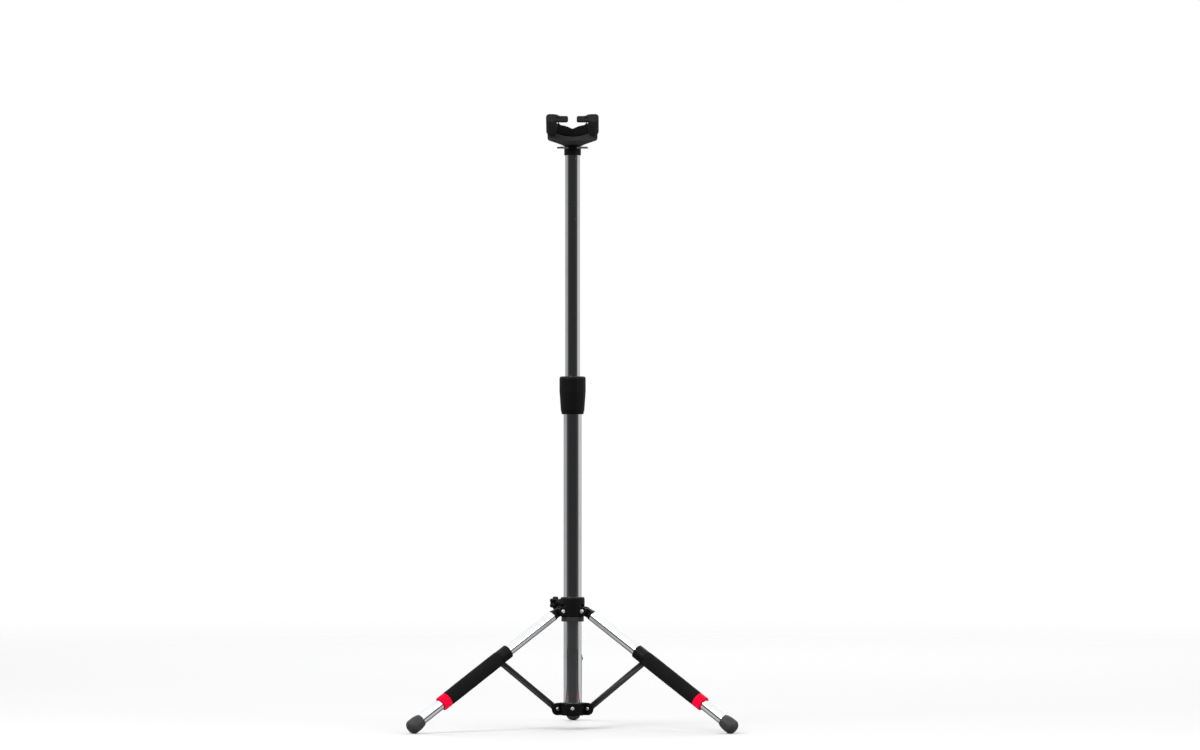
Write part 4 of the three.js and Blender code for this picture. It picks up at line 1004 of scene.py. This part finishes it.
# Arm cores and gate shafts: in each arm a drawn steel tube, plated and pressed into the yoke housing, and in
# the tube the turned shaft that the gate is fixed on.
shaft_edge = 0.4 * mm
arm_lines = {}
for side in ("left", "right"):
    front_end, rear_end = ends(f"arm_core_{side}")
    arm_way = (rear_end - front_end).normalized()
    face = front_end + arm_way * span(f"gate_{side}", front_end, arm_way)[0]
    arm_lines[side] = (face, arm_way, frame_of(face, right, arm_way))
    core = tube(f"drawn_arm_core_{side}", f"arm_core_{side}", front_end, arm_way)
    stands_for(core, f"arm_core_{side}", chrome)
    shaft = rod(f"turned_gate_shaft_{side}", f"gate_shaft_{side}", arm_way, corner=shaft_edge)
    stands_for(shaft, f"gate_shaft_{side}", chrome)

# Arm sleeves: soft black rubber, moulded with four ribs and pushed over the cores. Their section is square
# with rounded corners above and nearly round below, and the lower side rises towards the front.
arm_half = 10.1 * mm
upper_corners = 6.0 * mm
lower_corners = 9.4 * mm
arm_taper = 2.3 * mm
arm_tapers_to = 76.0 * mm
rib_count = 4
groove_width = 3.0 * mm
groove_depth = 1.5 * mm
groove_flank = 0.1 * mm
rib_rounding = 1.3 * mm
core_bore = 6.8 * mm
core_drill = 100 * mm


def arm_form(name, stations, place):
    """The arm's section, drawn along it through stations of (distance, how far it is inset). Here y points
    down."""
    first_distance, first_inset = stations[0]
    mesh = bmesh.new()
    square = block(-arm_half, arm_half, -arm_half, arm_half, 0)
    points = [mesh.verts.new((x, y, first_distance)) for x, y, _ in square]
    mesh.faces.new(points)
    for rounding, chosen in ((upper_corners, points[:2]), (lower_corners, points[2:])):
        rounded(mesh, chosen, rounding, outline_steps, "VERTICES")
    size = 1 - first_inset / arm_half
    bmesh.ops.scale(mesh, vec=(size, size, 1), verts=mesh.verts)
    end = mesh.faces[:]
    leading = end
    for (before, inset_before), (distance, inset) in zip(stations, stations[1:]):
        grown = bmesh.ops.extrude_face_region(mesh, geom=leading)["geom"]
        if leading != end:
            bmesh.ops.delete(mesh, geom=leading, context="FACES_ONLY")
        lifted = only(grown, bmesh.types.BMVert)
        leading = only(grown, bmesh.types.BMFace)
        size = (arm_half - inset) / (arm_half - inset_before)
        bmesh.ops.scale(mesh, vec=(size, size, 1), verts=lifted)
        bmesh.ops.translate(mesh, vec=(0, 0, distance - before), verts=lifted)
    for vertex in mesh.verts:
        if vertex.co.y > 0:
            vertex.co.y *= 1 - arm_taper / arm_half * (1 - vertex.co.z / arm_tapers_to)
    bmesh.ops.triangulate(mesh, faces=mesh.faces)
    faced_out(mesh)
    mesh.transform(place)
    return finished(name, mesh)


def rounded_end(end, rounding, inward, steps=5):
    """Stations round the edge of an end. Inward is 1 where the arm goes on from it, and -1 where it ends."""
    stations = []
    for step in range(steps + 1):
        angle = math.pi / 2 * step / steps
        stations.append((end + inward * rounding * (1 - math.sin(angle)), rounding * (1 - math.cos(angle))))
    return stations[::-1] if inward > 0 else stations


arm_rubber = moulding_look("arm_rubber", (0.0135, 0.0135, 0.0138, 1), (0.027, 0.027, 0.027, 1),
                           smooth=0.55, rough=0.72, shine=0.16, dusty=0.03)
for side, (face, arm_way, place) in arm_lines.items():
    low, high = span(f"arm_sleeve_{side}", face, arm_way)[:2]
    pitch = (high - low) / rib_count
    stations = []
    for rib in range(rib_count):
        begin = low + rib * pitch
        finish = begin + pitch - groove_width
        stations += rounded_end(begin, rib_rounding, 1) + rounded_end(finish, rib_rounding, -1)
        stations += [(finish + groove_flank, groove_depth), (begin + pitch - groove_flank, groove_depth)]
    ribs = arm_form(f"ribbed_arm_sleeve_{side}", stations, place)
    drilled(ribs, face, arm_way, core_bore, core_drill)
    stands_for(ribs, f"arm_sleeve_{side}", arm_rubber)

# Gates: moulded in the same soft rubber, each with a cap on the arm's end, fixed on the shaft. A flat finger
# runs out of the cap in a soft curve, with an arrow-shaped recess in its front.
cap_length = 12.0 * mm
cap_face_rounding = 2.6 * mm
cap_back_rounding = 0.9 * mm
finger_start = 2.0 * mm
finger_end = 10.0 * mm
finger_edge = 1.8 * mm
finger_heights = (-6.8 * mm, 4.8 * mm)
finger_corner = 3.5 * mm
finger_gap = 8.0 * mm
curve_in_mm = ((4.5, -10.05), (8.6, -9.95), (10.9, -9.3), (12.6, -8.2), (14.4, -7.2), (16.6, -6.75),
               (16.6, -4.0), (4.5, -4.0))
recess_start = 10.5 * mm
recess_length = 8.4 * mm
recess_height = 5.2 * mm
recess_depth = 1.5 * mm
recess_rise = 0.7 * mm
shaft_hole = 4.3 * mm
shaft_floor = 4.0 * mm

cap_stations = rounded_end(0, cap_face_rounding, 1) + rounded_end(cap_length, cap_back_rounding, -1)
for side, (face, arm_way, place) in arm_lines.items():
    inward = -math.copysign(1, face.x)
    tip = inward * (abs(face.x) - finger_gap)
    finger = block(min(0, tip), max(0, tip), *finger_heights, finger_corner)
    curve = [(inward * (out * mm), down * mm, 0) for out, down in curve_in_mm]
    gate = joined(f"moulded_gate_{side}", [
        arm_form("gate_cap", cap_stations, place),
        plate("gate_finger", finger, finger_start, finger_end, finger_edge, place),
        plate("gate_run_out", curve, finger_start, finger_end, finger_edge / 2, place),
    ])
    softened(gate, cell=0.42 * mm, passes=6)
    middle = sum(finger_heights) / 2 - recess_rise
    arrow = [
        (inward * recess_start, middle - recess_height / 2, 0),
        (inward * (recess_start + recess_length), middle, 0),
        (inward * recess_start, middle + recess_height / 2, 0),
    ]
    recess_floor, above_finger = finger_start + recess_depth, finger_start - recess_depth
    cut_away(gate, plate("gate_arrow", arrow, above_finger, recess_floor, 0, place))
    drilled(gate, face + arm_way * (shaft_floor + cap_length), arm_way, shaft_hole, cap_length)
    stands_for(gate, f"gate_{side}", arm_rubber)
